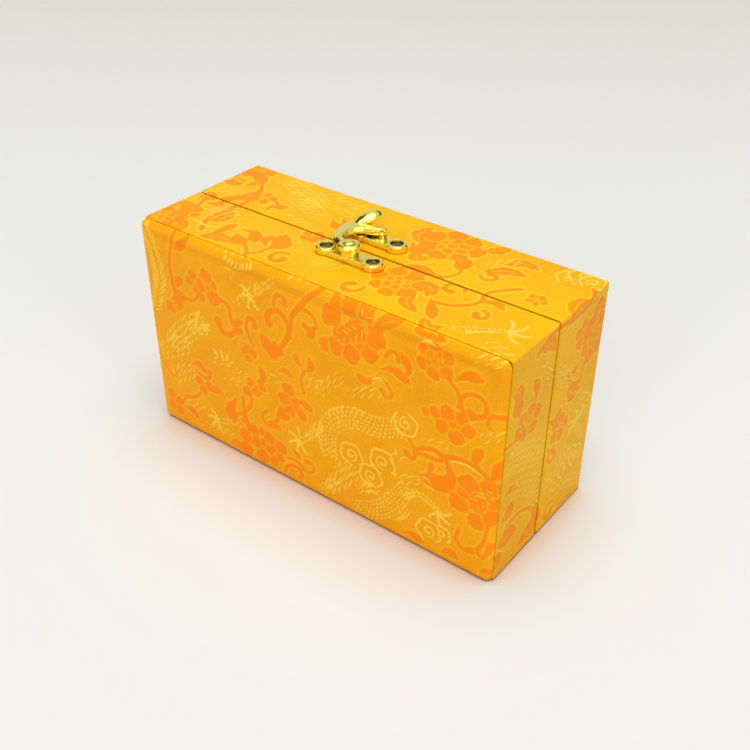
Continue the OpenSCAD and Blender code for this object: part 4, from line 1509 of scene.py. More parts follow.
class Wiring:
    """Adds shader nodes to one material and joins them."""

    def __init__(self, name: str) -> None:
        """Starts an empty material of that name."""
        self.material = bpy.data.materials.new(name)
        self.material.use_nodes = True
        self.tree = self.material.node_tree
        self.tree.nodes.clear()

    def node(self, kind: str, inputs: dict[str | int, Value], **settings: object) -> bpy.types.Node:
        """One node.

        Args:
            kind: its type, less the common first part of the name.
            inputs: numbers or other nodes' outputs for its inputs.
            settings: its options.

        Returns:
            The node.
        """
        made = self.tree.nodes.new("ShaderNode" + kind)
        for key, value in settings.items():
            setattr(made, key, value)
        for key, value in inputs.items():
            if isinstance(value, Socket):
                self.tree.links.new(value, made.inputs[key])
            else:
                made.inputs[key].default_value = value
        return made

    def sum(self, op: str, a: Value, b: Value = 0.0, c: Value = 0.0) -> Socket:
        """Output of a Math node."""
        return self.node("Math", {0: a, 1: b, 2: c}, operation=op).outputs[0]

    def plus(self, a: Value, b: Value) -> Socket:
        """a and b added."""
        return self.sum("ADD", a, b)

    def times(self, a: Value, b: Value, more: Value | None = None) -> Socket:
        """a times b, and more added where it is given."""
        return self.sum("MULTIPLY", a, b) if more is None else self.sum("MULTIPLY_ADD", a, b, more)

    def step(self, x: Value, low: float, high: float) -> Socket:
        """0 below low, 1 above high and an S between."""
        inputs = {"Value": x, "From Min": low, "From Max": high}
        return self.node("MapRange", inputs, interpolation_type="SMOOTHSTEP").outputs[0]

    def mix(self, share: Value, a: Value, b: Value) -> Socket:
        """Colour a where share is 0 and b where it is 1."""
        return self.node("Mix", {0: share, 6: a, 7: b}, data_type="RGBA").outputs[2]

    def carried(self, name: str, output: str = "Fac") -> Socket:
        """A value that the mesh carries."""
        return self.node("Attribute", {}, attribute_name=name).outputs[output]

    def scaled(self, vector: Value, by: Triple) -> Socket:
        """A vector times another, part by part."""
        return self.node("VectorMath", {0: vector, 1: by}, operation="MULTIPLY").outputs[0]

    def place(self, stretch: Triple = (1000, 1000, 1000)) -> Socket:
        """The object's own coordinates, in mm unless stretched otherwise."""
        return self.scaled(self.node("TexCoord", {}).outputs["Object"], stretch)

    def openness(self, distance: float) -> Socket:
        """How open a place is, from what stands within a distance in mm."""
        return self.node("AmbientOcclusion", {"Distance": distance * MM}).outputs["AO"]

    def noise(self, vector: Value, scale: float, detail: float = 2.0) -> Socket:
        """Soft noise about 0.5."""
        return self.node("TexNoise", {"Vector": vector, "Scale": scale, "Detail": detail}).outputs[0]

    def threads(self, cloth: Value, along: float, across: float, detail: float) -> Socket:
        """Noise drawn out along one way of the cloth."""
        return self.noise(self.scaled(cloth, (along, across, 1)), 1.0, detail)

    def bump(self, height: Value, distance: float, normal: Value | None = None) -> Value:
        """A normal tilted by a height.

        Args:
            height: the height's pattern.
            distance: how far a height of 1 stands out, in mm.
            normal: the normal that is tilted, or the surface's own.

        Returns:
            The tilted normal.
        """
        inputs: dict[str | int, Value] = {"Height": height, "Distance": distance * MM}
        if normal is not None:
            inputs["Normal"] = normal
        return self.node("Bump", inputs).outputs[0]

    def shade(self, inputs: dict[str | int, Value]) -> Material:
        """Ends the material with one surface shader."""
        out = self.node("OutputMaterial", {})
        surface = self.node("BsdfPrincipled", inputs)
        self.tree.links.new(surface.outputs[0], out.inputs[0])
        return self.material


Colour = tuple[float, float, float, float]


@dataclass(frozen=True)
class Brocade:
    """Golden figured silk: a fine twill ground, orange figures and pale brocading threads."""

    name: str = "wall_silk"
    ground: Colour = (0.92, 0.520, 0.006, 1)
    shade: Colour = (0.82, 0.370, 0.004, 1)
    figure: Colour = (0.97, 0.320, 0.006, 1)
    figure_deep: Colour = (0.89, 0.250, 0.005, 1)
    pale: Colour = (0.88, 0.620, 0.080, 1)
    edge: Colour = (0.92, 0.570, 0.030, 1)
    # hollow: painted shade, mixed in where the cloth is hemmed in: cracks, the split and the bottom
    # edge
    hollow: Colour = (0.11, 0.022, 0.001, 1)
    outline: float = 0.85
    rib: float = 0.42
    gloss: float = 0.42
    lustre: float = 0.22

    def material(self) -> Material:
        """Threads show by smooth steps of the distances that the mesh carries."""
        w = Wiring(self.name)
        cloth = w.carried("cloth", "Vector")
        fray = w.times(w.noise(cloth, 3.1, 1), 0.3, -0.15)
        figure = w.plus(w.carried("figure"), fray)
        pale = w.plus(w.carried("pale"), fray)
        in_figure = w.step(figure, -0.13, 0.2)
        in_pale = w.step(pale, -0.08, 0.12)
        rim = w.sum("ABSOLUTE", w.plus(figure, 0.62))
        in_edge = w.times(w.step(rim, 0.32, 0.1), self.outline)
        weft = w.threads(cloth, 0.16, 3.4, 3)
        warp = w.threads(cloth, 3.8, 0.2, 2)
        cast = w.noise(cloth, 0.045, 2)
        slub = w.plus(w.times(weft, 0.55), w.times(warp, 0.45))
        grain = w.times(w.threads(cloth, 1.5, 1.1, 2), 0.35)
        worn = w.times(cast, 0.3, w.times(slub, 0.5, grain))
        worn = w.step(worn, 0.42, 0.74)
        ground = w.mix(worn, self.shade, self.ground)
        colour = w.mix(in_edge, ground, self.edge)
        colour = w.mix(in_figure, colour, w.mix(worn, self.figure_deep, self.figure))
        colour = w.mix(w.times(in_pale, 0.92), colour, self.pale)
        # painted shade: the colour goes towards hollow in cracks, seams and along the floor
        colour = w.mix(w.step(w.openness(1.9), 0.18, 0.80), self.hollow, colour)
        part = w.node("SeparateXYZ", {0: cloth}).outputs
        turn = w.times(w.plus(part[0], part[1]), 2 * math.pi / self.rib)
        twill = w.times(w.sum("SINE", turn), 0.12, 0)
        height = w.plus(w.times(in_figure, 0.55), w.times(in_pale, 0.8))
        height = w.plus(height, w.times(in_edge, 0.25))
        height = w.plus(height, w.plus(twill, w.times(slub, 0.7)))
        return w.shade({
            "Base Color": colour,
            "Metallic": self.lustre,
            "Roughness": self.gloss,
            "Specular IOR Level": 0.04,
            "Normal": w.bump(height, 0.13),
        })


# A lit copy of the brocade: its more orange tones are painted light, the front face's warmer light
PANEL_SILK_WARM_LIT = Brocade(
    name="panel_silk_warm_lit",
    ground=(0.95, 0.425, 0.006, 1),
    shade=(0.87, 0.330, 0.005, 1),
    figure=(0.99, 0.285, 0.005, 1),
    figure_deep=(0.96, 0.235, 0.004, 1),
    pale=(0.95, 0.600, 0.055, 1),
    edge=(0.95, 0.510, 0.022, 1),
    outline=0.6,
)


@dataclass(frozen=True)
class Satin:
    """Plain satin: long floats with a strong soft gloss along them."""

    colour: Colour = (0.90, 0.62, 0.12, 1)
    shade: Colour = (0.82, 0.50, 0.07, 1)

    def material(self) -> Material:
        """Fine stretched noise makes the floats, a broad one the uneven dye."""
        w = Wiring("plain_satin")
        cloth = w.carried("cloth", "Vector")
        floats = w.threads(cloth, 0.5, 6.0, 3)
        cast = w.threads(cloth, 0.03, 0.16, 2)
        share = w.step(w.times(floats, 0.8, w.times(cast, 0.2)), 0.3, 0.7)
        return w.shade({
            "Base Color": w.mix(share, self.shade, self.colour),
            "Metallic": 0.35,
            "Roughness": 0.3,
            "Anisotropic": 0.5,
            "Specular IOR Level": 0.5,
            "Normal": w.bump(w.plus(floats, w.times(cast, 2.0)), 0.05),
        })


@dataclass(frozen=True)
class Wadding:
    """White needled fibre under the brocade."""

    colour: Colour = (0.82, 0.80, 0.74, 1)
    shade: Colour = (0.70, 0.68, 0.62, 1)

    def material(self) -> Material:
        """Tangled noise for the fibres, in colour and in height."""
        w = Wiring("soft_wadding")
        fibres = w.noise(w.place(), 1.4, 6)
        return w.shade({
            "Base Color": w.mix(fibres, self.shade, self.colour),
            "Roughness": 0.95,
            "Sheen Weight": 0.3,
            "Normal": w.bump(fibres, 0.5),
        })


@dataclass(frozen=True)
class Greyboard:
    """Bare board of the walls: grey-brown pulp with flecks."""

    colour: Colour = (0.33, 0.28, 0.21, 1)
    dull: Colour = (0.27, 0.225, 0.17, 1)
    fleck: Colour = (0.20, 0.16, 0.12, 1)

    def material(self) -> Material:
        """Cloudy pulp and small flecks from two scales of noise."""
        w = Wiring("bare_greyboard")
        pulp = w.noise(w.place(), 0.7, 6)
        flecks = w.step(w.noise(w.place((1800, 700, 1500)), 2.2, 2), 0.6, 0.72)
        colour = w.mix(pulp, self.dull, self.colour)
        return w.shade({
            "Base Color": w.mix(flecks, colour, self.fleck),
            "Roughness": 0.9,
            "Normal": w.bump(pulp, 0.15),
        })


@dataclass(frozen=True)
class CastBrass:
    """Polished casting: greenish gold, soft hammer-like unevenness, dark in its hollows."""

    colour: Colour = (0.93, 0.79, 0.14, 1)
    hollow: Colour = (0.42, 0.29, 0.04, 1)
    gloss: float = 0.17

    def material(self) -> Material:
        """Tone from how open a place is; gloss and height from noise."""
        w = Wiring("cast_brass")
        spot = w.place()
        openness = w.openness(1.6)
        cast = w.noise(spot, 0.5, 3)
        tone = w.times(cast, 0.3, w.times(openness, 0.85))
        colour = w.mix(w.step(tone, 0.35, 0.9), self.hollow, self.colour)
        skin = w.plus(w.noise(spot, 0.9, 2), w.times(w.noise(spot, 7.0, 2), 0.06))
        rough = w.times(w.noise(spot, 1.7, 3), 0.14, self.gloss - 0.07)
        rounded = w.node("Bevel", {"Radius": 0.22 * MM}, samples=4).outputs[0]
        return w.shade({
            "Base Color": colour,
            "Metallic": 1.0,
            "Roughness": rough,
            "Normal": w.bump(skin, 0.12, rounded),
        })


@dataclass(frozen=True)
class DarkScrew:
    """Plated steel screw, nearly black in its slot."""

    colour: Colour = (0.20, 0.15, 0.10, 1)
    wear: Colour = (0.42, 0.33, 0.20, 1)

    def material(self) -> Material:
        """Worn tone where the noise is high."""
        w = Wiring("dark_screw")
        spot = w.place()
        worn = w.step(w.noise(spot, 1.6, 3), 0.5, 0.72)
        return w.shade({
            "Base Color": w.mix(worn, self.colour, self.wear),
            "Metallic": 1.0,
            "Roughness": w.times(worn, 0.1, 0.3),
            "Normal": w.bump(w.noise(spot, 4.0, 2), 0.05),
        })


def dress(piece: Object, finish: Material) -> None:
    """Gives an object one finish on all of its slots.

    Args:
        piece: the object.
        finish: its material.
    """
    if not piece.material_slots:
        piece.data.materials.append(finish)
    for place in piece.material_slots:
        place.material = finish
    log.info("%s dressed in %s", piece.name, finish.name)


def extent(node: str) -> tuple[Array, Array]:
    """Lowest and highest corner of a solid in mm."""
    low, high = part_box(node)
    return np.array(low) / MM, np.array(high) / MM


@dataclass(frozen=True)
class Finishes:
    """One material of each finish, shared by the pieces."""

    brocade: Material
    # the panel's lit copy of the brocade, with the front's warmer light painted in
    panel_brocade: Material
    satin: Material
    wadding: Material
    board: Material
    brass: Material
    screw: Material

    @classmethod
    def made(cls) -> "Finishes":
        """All of them, made in the fields' order."""
        kinds = Brocade(), PANEL_SILK_WARM_LIT, Satin(), Wadding(), Greyboard(), CastBrass(), DarkScrew()
        return cls(*(kind.material() for kind in kinds))


@dataclass
class PaddedPanel:
    """The padded front: a board on the lid, wadding over it and brocade stretched over both."""

    full: float = 2.3
    crown: float = 0.6
    corner: float = 2.6
    cloth: float = 0.45
    back_y: float = -27.6
    pitch: float = 0.4
    pad_pitch: float = 1.5
    shoulders: tuple[float, ...] = (1.3, 3.0, 1.8, 3.5)
    edges: tuple[float, ...] = (1.7, 0.6, 1.2, 0.5)
    skirt: tuple[Point, ...] = (
        (0.06, 0.82), (0.25, 0.6), (0.6, 0.38), (1.0, 0.18), (1.5, 0), (2.9, 0), (8, 0)
    )
    pad_skirt: tuple[Point, ...] = ((0, 0.5), (0.2, 0.0))
    pad_thin: float = 0.04

    def near(self, x: Array, z: Array) -> Array:
        """How much a place belongs to the left, right, lower and upper edge, summing to 1."""
        gaps = np.stack([x, x.max() - x, z, z.max() - z])
        weight = 1 / (np.maximum(gaps, 0) + 0.8) ** 3
        return weight / weight.sum(0)

    def rise(self, x: Array, z: Array, e: Array) -> Array:
        """Height over the board's back.

        A curve between a chamfer and a quarter round rises over each edge's shoulder, a low
        crown swells to the middle, a soft hollow runs just inside the upper shoulder and slow
        waves lie over all.

        Args:
            x: places from the left in mm.
            z: places from below in mm.
            e: distances in from the edge in mm.

        Returns:
            The height of each place in mm.
        """
        near = self.near(x, z)
        wide, low = (np.tensordot(v, near, 1) for v in (self.shoulders, self.edges))
        t = np.clip(e / wide, 0, 1)
        lip = (1 - (1 - t) ** 1.5) ** (1 / 1.5)
        u, v = x / x.max() * 2 - 1, z / z.max() * 2 - 1
        swell = (1 - u**2) ** 0.8 * (1 - v**2) ** 0.8
        deep = 0.16 * near[1] + 0.42 * near[3] * (1 + 0.45 * ripple(x, 0 * z, 3, 40))
        hollow = deep * np.exp(-(((e - wide - 2.0) / 1.9) ** 2))
        waves = 0.10 * ripple(x, z, 5, 24) + 0.05 * ripple(x, z, 6, 8)
        return low + (self.full - low) * lip + self.crown * swell + lip * (waves - hollow)

    def open_seam(self, flat: Array) -> Array:
        """How far the cover's turn-in parts from the walls: most near the ends and at right.

        Args:
            flat: places on the rim in mm, (n, 2).

        Returns:
            A factor for the skirt's insets.
        """
        x, z = flat[:, 0], flat[:, 1]
        ends = np.clip((np.abs(x / x.max() * 2 - 1) - 0.45) / 0.4, 0, 1)
        loose = 0.35 + 0.6 * ends + 0.35 * ripple(x + 0.7 * z, 0 * z, 9, 11)
        return np.clip(1.35 * loose + 0.4 * self.near(x, z)[1], 0.2, 1.9)

    def build(self, finish: Finishes) -> None:
        """Makes the cover and the wadding and dresses the board.

        Args:
            finish: the shared materials.
        """
        low, high = extent("panel_cover")
        length, height = high[0] - low[0], high[2] - low[2]
        slab = Slab(
            length, height, self.back_y, -1, self.corner, self.pitch, self.skirt, self.rise,
            self.open_seam,
        )
        shell, flat = slab.shell()
        shell.points[:, 2] += low[2]
        cloth = flat + [(LENGTH - length) / 2, low[2]]
        shell.carried = dyed(cloth, FRONT.weave(cloth))
        cover = put("panel_brocade", shell, "lid", "brocade", "panel_cover")
        dress(cover, finish.panel_brocade)
        low, high = extent("panel_foam")
        behind = high[1] - self.back_y - self.cloth
        pad = Slab(
            high[0] - low[0], high[2] - low[2], high[1], -1, self.corner, self.pad_pitch,
            self.pad_skirt, lambda x, z, e: np.maximum(self.rise(x, z, e) + behind, self.pad_thin),
        )
        shell, _ = pad.shell()
        shell.points[:, 2] += low[2]
        wadding = put("panel_wadding", shell, "lid", "wadding", "panel_foam")
        dress(wadding, finish.wadding)
        dress(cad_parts["panel_board"], finish.board)


@dataclass
class Tray:
    """One half of the box: boards, wall cloth, hinge strip, lining and cushion."""

    body: str
    face_board: str
    closed_y: float
    rim_y: float
    floor_y: float
    seed: int

    def clothe(self, finish: Finishes) -> None:
        """Makes the wall cloth and the hinge strip.

        Args:
            finish: the shared materials.
        """
        for name, node, sides, weave in (
            ("wall_brocade", "wrap", (Side.LEFT, Side.CLASP, Side.RIGHT), wall_weave),
            ("hinge_brocade", "spine_cloth", (Side.HINGE,), hinge_weave),
        ):
            cloth = WallCloth(self.closed_y, self.rim_y, sides, weave, self.seed)
            self.lay(name, cloth.shell(), "brocade", node, finish.brocade)

    def lay(
        self, name: str, shell: Shell, slot: str, node: str, material: Material
    ) -> Object:
        """Makes one dressed piece of this half. Both names are given without the half's."""
        piece = put(f"{self.body}_{name}", shell, self.body, slot, f"{self.body}_{node}")
        dress(piece, material)
        return piece

    def line(self, finish: Finishes) -> None:
        """Makes the satin lining and cushion.

        Args:
            finish: the shared materials.
        """
        lining = Lining(self.floor_y, self.rim_y).shell()
        self.lay("satin_lining", lining, "satin", "lining", finish.satin)
        low, high = extent(f"{self.body}_cushion")
        way = 1 if self.rim_y > self.closed_y else -1
        cushion = Cushion(
            high[0] - low[0], high[2] - low[2], (high[2] + low[2]) / 2, self.floor_y, way, self.seed
        )
        cover = cushion.shell()
        cover = cushion.swell(cover)
        shell = joined([cover, cushion.piping(cover)])
        piece = self.lay("satin_cushion", shell, "satin", "cushion", finish.satin)
        fine = piece.modifiers.new("fine", "SUBSURF")
        fine.levels = fine.render_levels = 1

    def build(self, finish: Finishes) -> None:
        """Makes every piece of the half."""
        walls = (f"{side}_wall" for side in ("clasp", "hinge", "left", "right"))
        for board in (self.face_board, *walls):
            dress(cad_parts[f"{self.body}_{board}"], finish.board)
        self.clothe(finish)
        self.line(finish)


@dataclass
class BaseTray(Tray):
    """The half that carries the hinge and whose back is covered by a sheet of brocade."""

    sheet_inset: float = 0.9
    sheet_y: float = 30.34
    sheet_corner: float = 1.2
    sheet_pitch: float = 0.5
    sheet_skirt: tuple[Point, ...] = ((0, 0.5), (0.1, 0.0), (4, 0.0))

    def sheet_rise(self, x: Array, z: Array, e: Array) -> Array:
        """Thickness of the sheet: a round edge 0.4 mm wide, and slow waves."""
        return 0.16 + 0.14 * np.clip(e / 0.4, 0, 1) ** 0.5 + 0.05 * ripple(x, z, 8, 20)

    def build(self, finish: Finishes) -> None:
        """Adds the back's sheet, which shows from behind what the front shows from in front."""
        super().build(finish)
        shell, flat = Slab(
            LENGTH - 2 * self.sheet_inset, HEIGHT - 2 * self.sheet_inset, self.sheet_y, 1,
            self.sheet_corner, self.sheet_pitch, self.sheet_skirt, self.sheet_rise,
        ).shell()
        shell.points[:, 2] += self.sheet_inset
        cloth = flat + self.sheet_inset
        cloth[:, 0] = LENGTH - cloth[:, 0]
        shell.carried = dyed(cloth, FRONT.weave(cloth))
        dress(put("back_brocade", shell, "base", "brocade", "base_wrap"), finish.brocade)


@dataclass
class HingeFold:
    """The fold of the hinge strip behind the split, made in one fixed shape."""

    split_y: float = -0.84
    reach: float = 2.2
    lift: float = 0.08
    deep: float = 0.34
    thick: float = 0.3
    end_gap: float = 0.6
    half_bend: float = 0.7

    def build(self, finish: Finishes) -> None:
        """Makes a shallow trough: a squared cosine deep, hidden in the strip at both edges."""
        u = np.linspace(-1, 1, 25)
        y, z = self.split_y + self.reach * u, self.lift + self.deep * np.cos(u * np.pi / 2) ** 2
        profile = np.stack([np.append(y, y[::-1]), np.append(z, z[::-1] + self.thick)], 1)
        end_x = LENGTH / 2 - self.end_gap
        x = np.linspace(-end_x, end_x, 120)
        rings = np.empty((len(x), len(profile), 3))
        rings[..., 0], rings[..., 1:] = x[:, None], profile
        fold = capped(rings)
        cloth = fold.points[:, :2] + [LENGTH / 2, -FRONT_Y]
        fold.carried = dyed(cloth, {layer: np.full(len(cloth), NO_INK) for layer in Layer})
        piece = put("hinge_fold", fold, "", "brocade", "lid_spine_cloth", "base_spine_cloth")
        dress(piece, finish.brocade)
        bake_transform(piece)


def closed_curve(points: Array, per_span: int = 5) -> Array:
    """Smooth closed curve through each row of points, by the same cubic spans.

    Args:
        points: rows of points, (m, n, k).
        per_span: samples in each span.

    Returns:
        The samples of each row, (m, n * per_span, k).
    """
    a, b, c, d = (np.roll(points, k, 1)[:, :, None] for k in (1, 0, -1, -2))
    t = np.linspace(0, 1, per_span, endpoint=False)[None, None, :, None]
    spans = 0.5 * (
        2 * b + (c - a) * t + (2 * a - 5 * b + 4 * c - d) * t**2 + (3 * b - a - 3 * c + d) * t**3
    )
    return spans.reshape(points.shape[0], -1, points.shape[2])


@dataclass
class Clasp:
    """Cast swing hook, its two plates, the rivet and the screws.

    The hook's crescent is a run of stations. Each has an inner edge, a flat ridge and an outer
    edge in plan, heights of ridge and edge as shares of the ring's, and how far it has dropped
    towards the stud.
    """

    pivot: Triple = (1.7, -8.75, HEIGHT)
    stud: tuple[float, float] = (2.4, 14.3)
    ring_r: float = 3.8
    hole_r: float = 1.16
    low: float = 3.95
    high: float = 5.95
    arm_low: float = 2.65
    tip_w: float = 1.7
    tip_gap: float = 1.1
    soft: float = 0.3
    leaf_root: Point = (-8.3, 13.4)
    leaf_l: float = 11.5
    leaf_w: float = 3.3
    leaf_h: float = 1.95
    leaf_heading: float = 86.0
    leaf_bend: float = -26.0
    leaf_foot: float = 1.7
    leaf_rise: float = 1.6
    crescent: tuple[tuple[float, ...], ...] = (
        (-0.2, 0.8, -0.6, -0.8, -1.0, -2.3, 0.9, 0.6, 0.0),
        (-2.4, 1.5, -3.0, -0.1, -3.8, -1.7, 0.95, 0.52, 0.0),
        (-4.2, 2.2, -5.3, 1.0, -6.6, -0.1, 0.98, 0.48, 0.0),
        (-5.4, 3.6, -6.8, 2.9, -8.7, 2.2, 1.0, 0.46, 0.03),
        (-6.1, 5.7, -7.5, 5.6, -10.3, 5.0, 1.0, 0.44, 0.08),
        (-6.2, 7.9, -7.6, 8.4, -11.6, 8.3, 1.0, 0.42, 0.15),
        (-5.7, 9.9, -6.9, 10.9, -12.2, 11.8, 1.0, 0.42, 0.25),
        (-4.6, 11.5, -5.6, 12.7, -11.6, 15.0, 1.1, 0.55, 0.45),
        (-3.1, 12.9, -3.9, 14.1, -8.2, 16.6, 1.18, 0.7, 0.7),
        (-1.3, 14.1, -1.9, 15.2, -3.6, 16.9, 1.25, 1.0, 0.9),
    )
    tip: tuple[tuple[float, ...], ...] = (
        (-7.5, 0.45, 1.0, 1.28, 1.1),
        (-3.0, 0.0, 1.0, 1.28, 1.12),
        (-0.5, 0.0, 0.78, 1.18, 1.0),
    )

    def stations(self) -> Array:
        """The crescent's stations and the tip's, which lie on circles round the pivot."""
        reach = math.hypot(*self.stud) + self.tip_gap
        heading = math.degrees(math.atan2(*self.stud))
        rows = [list(row) for row in self.crescent]
        for turn, inward, share, ridge, edge in self.tip:
            a = math.radians(heading + turn)
            way = np.array([math.sin(a), math.cos(a)])
            radii = (reach - inward, reach + self.tip_w * share / 2, reach + self.tip_w * share)
            rows.append([*np.concatenate([r * way for r in radii]), ridge, edge, 1.0])
        return smooth_line(rows, 8)

    def arm(self) -> Shell:
        """Nine corners at each station, joined by smooth curves both ways."""
        rows = self.stations()
        inner, ridge, outer = rows[:, 0:2], rows[:, 2:4], rows[:, 4:6]
        tall = self.high - self.low
        base = self.low + (self.arm_low - self.low) * rows[:, 8]
        top, edge = base + rows[:, 6] * tall, base + rows[:, 7] * tall

        def between(a: Array, b: Array, share: float) -> Array:
            """A point part way between two."""
            return a + (b - a) * share

        corners = [
            (inner, base), (inner, top - self.soft), (between(inner, ridge, 0.32), top),
            (ridge, top), (between(ridge, outer, 0.5), between(top, edge, 0.42)),
            (between(ridge, outer, 0.9), between(top, edge, 0.86)), (outer, edge - self.soft),
            (outer, base + 0.25), (between(outer, inner, 0.06), base),
        ]
        rings = np.stack([np.column_stack([p, z]) for p, z in corners], 1)
        return capped(closed_curve(rings, 5))

    def leaf(self) -> Shell:
        """An ellipse carried along a rising arc, its size swelling and dying as a sine's power."""
        t = 0.015 + 0.975 * (1 - np.cos(np.linspace(0, np.pi, 44))) / 2
        heading, bend = math.radians(self.leaf_heading), math.radians(self.leaf_bend)
        way = heading + bend * t / 2
        run = np.stack([np.cos(way), np.sin(way)], 1)
        middle = np.array(self.leaf_root) + (self.leaf_l * t)[:, None] * run
        turn = heading + bend * t
        side = np.stack([np.sin(turn), -np.cos(turn)], 1)
        swell = (np.sin(np.pi * t**1.3) ** 0.55)[:, None]
        q = full_turn(40)[None]
        plan = middle[:, None] + side[:, None] * (self.leaf_w * swell * np.cos(q))[..., None]
        rise = self.arm_low + self.leaf_foot + self.leaf_rise * np.sin(np.pi / 2 * t)
        z = rise[:, None] + self.leaf_h * swell * np.sin(q)
        return capped(np.concatenate([plan, z[..., None]], 2))

    def ring(self) -> Shell:
        """A washer with a chamfered foot and a quarter-round top edge, turned round the pivot."""
        q = np.radians(np.linspace(0, 90, 9))
        hole, rim, low, high, soft = self.hole_r, self.ring_r, self.low, self.high, self.soft
        foot = [[hole, low], [rim - soft, low], [rim, low + soft]]
        shoulder = np.stack([rim - 1 + np.cos(q), high - 1 + np.sin(q)], 1)
        mouth = [[hole + 0.9, high], [hole, high - soft / 2]]
        return turned(np.concatenate([foot, shoulder, mouth]))

    def build(self, finish: Finishes) -> None:
        """Makes the hook and dresses the castings."""
        shell = joined([self.arm(), self.leaf(), self.ring()])
        shell.points += self.pivot
        dress(put("swing_hook", shell, "hook", "cast_brass", "hook"), finish.brass)
        for node in ("hook_plate", "catch_plate", "hook_rivet"):
            dress(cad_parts[node], finish.brass)
        for node in ("hook_plate_screws", "catch_plate_screws"):
            dress(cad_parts[node], finish.screw)


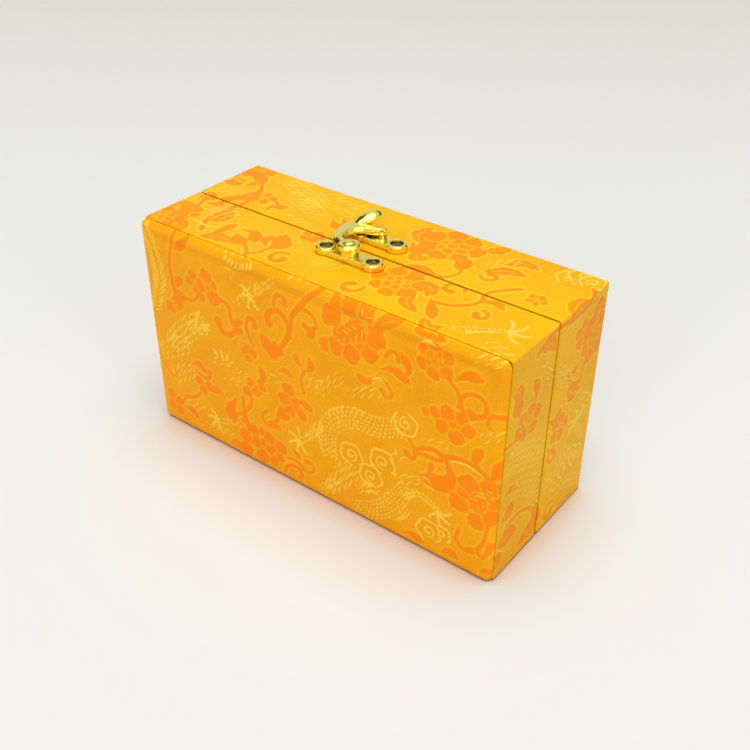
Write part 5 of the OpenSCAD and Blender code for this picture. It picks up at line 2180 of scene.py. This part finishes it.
@dataclass
class Studio:
    """Pale floor, soft lamps, a plain room and the camera of the photograph's view."""

    place: Triple = (0.1857, -0.2361, 0.2400)
    ahead: Triple = (-0.50015, 0.65600, -0.56526)
    right: Triple = (0.7937, 0.6083, 0.0037)
    lens: float = 48.67
    room: float = 0.45
    mirror: float = 0.72
    backdrop: float = 0.92
    light: Colour = (1.0, 0.995, 0.975, 1)
    floor: Colour = (0.655, 0.658, 0.640, 1)
    # painted shade: the floor's colour far from the camera
    painted_far_shade: Colour = (0.49, 0.49, 0.43, 1)
    grey: Colour = (0.5, 0.5, 0.48, 1)
    # painted light: warm bounce from the silk and contact shade, near the box
    painted_silk_bounce_shade: Colour = (0.70, 0.44, 0.30, 1)
    card_black: Colour = (0.03, 0.025, 0.015, 1)
    clasp_at: Triple = (0, 0, 0.09)
    half_floor: float = 4.0

    def camera(self) -> None:
        """Sets the camera from its place, where it looks and its right hand."""
        data = bpy.data.cameras.new("camera")
        data.lens, data.sensor_width, data.clip_start = self.lens, 36.0, 0.01
        right, ahead = Vector(self.right), Vector(self.ahead)
        up = right.cross(ahead)
        turn = Matrix((right, up, -ahead)).transposed().to_4x4()
        cam = linked("camera", data)
        cam.matrix_world = Matrix.Translation(self.place) @ turn
        bpy.context.scene.camera = cam

    def lamp(self, name: str, toward: Triple, power: float, soft: float) -> None:
        """A broad distant lamp.

        Args:
            name: its name.
            toward: the direction that it shines in.
            power: its share of a plain white's brightness.
            soft: its softness in degrees.
        """
        data = bpy.data.lights.new(name, "SUN")
        data.energy, data.angle = power * math.pi, math.radians(soft)
        turn = Vector(toward).to_track_quat("-Z", "Y")
        linked(name, data).rotation_euler = turn.to_euler()

    def sheet(self, name: str, size: Point, turn: Array, at: Triple) -> Object:
        """A flat rectangle of the stage.

        Args:
            name: its name.
            size: its length and height in m.
            turn: the turn of its corners, (3, 3).
            at: its middle in m.

        Returns:
            The object.
        """
        x, y = size[0] / 2, size[1] / 2
        corners = np.array([[-x, -y, 0], [x, -y, 0], [x, y, 0], [-x, y, 0]], float)
        mesh = bpy.data.meshes.new(name)
        mesh.from_pydata((corners @ turn.T + at).tolist(), [], [(0, 1, 2, 3)])
        sheet = linked(name, mesh)
        return sheet

    def card(self, name: str, at: Triple, size: Point) -> None:
        """A dark card that only reflections see, facing the clasp."""
        turn = (Vector(self.clasp_at) - Vector(at)).to_track_quat("Z", "Y").to_matrix()
        card = self.sheet(name, size, np.array(turn), at)
        card.visible_camera = card.visible_diffuse = card.visible_shadow = False
        dress(card, Wiring(name).shade({"Base Color": self.card_black, "Roughness": 1.0}))

    def room_light(self) -> None:
        """Lights the room evenly, with its own level for reflections and for the camera."""
        world = bpy.data.worlds.new("room")
        world.use_nodes = True
        tree = world.node_tree
        back = tree.nodes["Background"]
        back.inputs[0].default_value = self.light
        path = tree.nodes.new("ShaderNodeLightPath")
        level = back.inputs[1]
        for ray, strength in (("Is Glossy Ray", self.mirror), ("Is Camera Ray", self.backdrop)):
            add = tree.nodes.new("ShaderNodeMath")
            add.operation = "MULTIPLY_ADD"
            tree.links.new(path.outputs[ray], add.inputs[0])
            add.inputs[1].default_value = strength - self.room
            add.inputs[2].default_value = self.room
            tree.links.new(add.outputs[0], level)
            level = add.inputs[2]
        bpy.context.scene.world = world

    def ground(self) -> None:
        """The floor: painted shade far from the camera, painted silk bounce and shade near the box.
        """
        side = 2 * self.half_floor
        floor = self.sheet("floor", (side, side), np.eye(3), (0, 0, 0))
        w = Wiring("pale_floor")
        where = w.place((1, 1, 1))
        away = w.node("VectorMath", {0: where, 1: (-0.55, 0.83, 0)}, operation="DOT_PRODUCT")
        # painted shade: the floor darkens with distance from the camera
        painted_falloff = w.step(away.outputs["Value"], -0.15, 0.95)
        tone = w.mix(painted_falloff, self.floor, self.painted_far_shade)
        tone = w.mix(w.times(w.noise(where, 3.0, 2), 0.06), tone, self.grey)
        # painted light: warm silk bounce and contact shade where the box is near
        tone = w.mix(w.step(w.openness(12), 0.1, 1.0), self.painted_silk_bounce_shade, tone)
        dress(floor, w.shade({"Base Color": tone, "Roughness": 0.8, "Specular IOR Level": 0.1}))

    def build(self) -> None:
        """Sets the stage."""
        bpy.context.scene.view_settings.view_transform = "Standard"
        self.camera()
        self.lamp("top_lamp", (-0.03, -0.01, -1.0), 0.74, 50)
        self.lamp("front_lamp", (-0.15, 1.0, -0.5), 0.27, 40)
        self.lamp("side_lamp", (-1.0, 0.25, -0.6), 0.13, 40)
        self.room_light()
        self.ground()
        self.card("left_card", (-0.5, 0.05, 0.35), (0.3, 0.7))
        self.card("far_card", (0.1, 0.6, 0.35), (0.9, 0.22))


def main() -> None:
    """Builds the box half by half, then the clasp and the stage."""
    logging.basicConfig(level=logging.INFO, format="%(name)s: %(message)s")
    finish = Finishes.made()
    lid = Tray("lid", "top_board", closed_y=-27.57, rim_y=-1.08, floor_y=-25.2, seed=21)
    base = BaseTray("base", "back_board", closed_y=30.42, rim_y=-0.60, floor_y=28.1, seed=31)
    for part in (PaddedPanel(), lid, base, HingeFold(), Clasp()):
        part.build(finish)
    Studio().build()


if __name__ == "__main__":
    main()
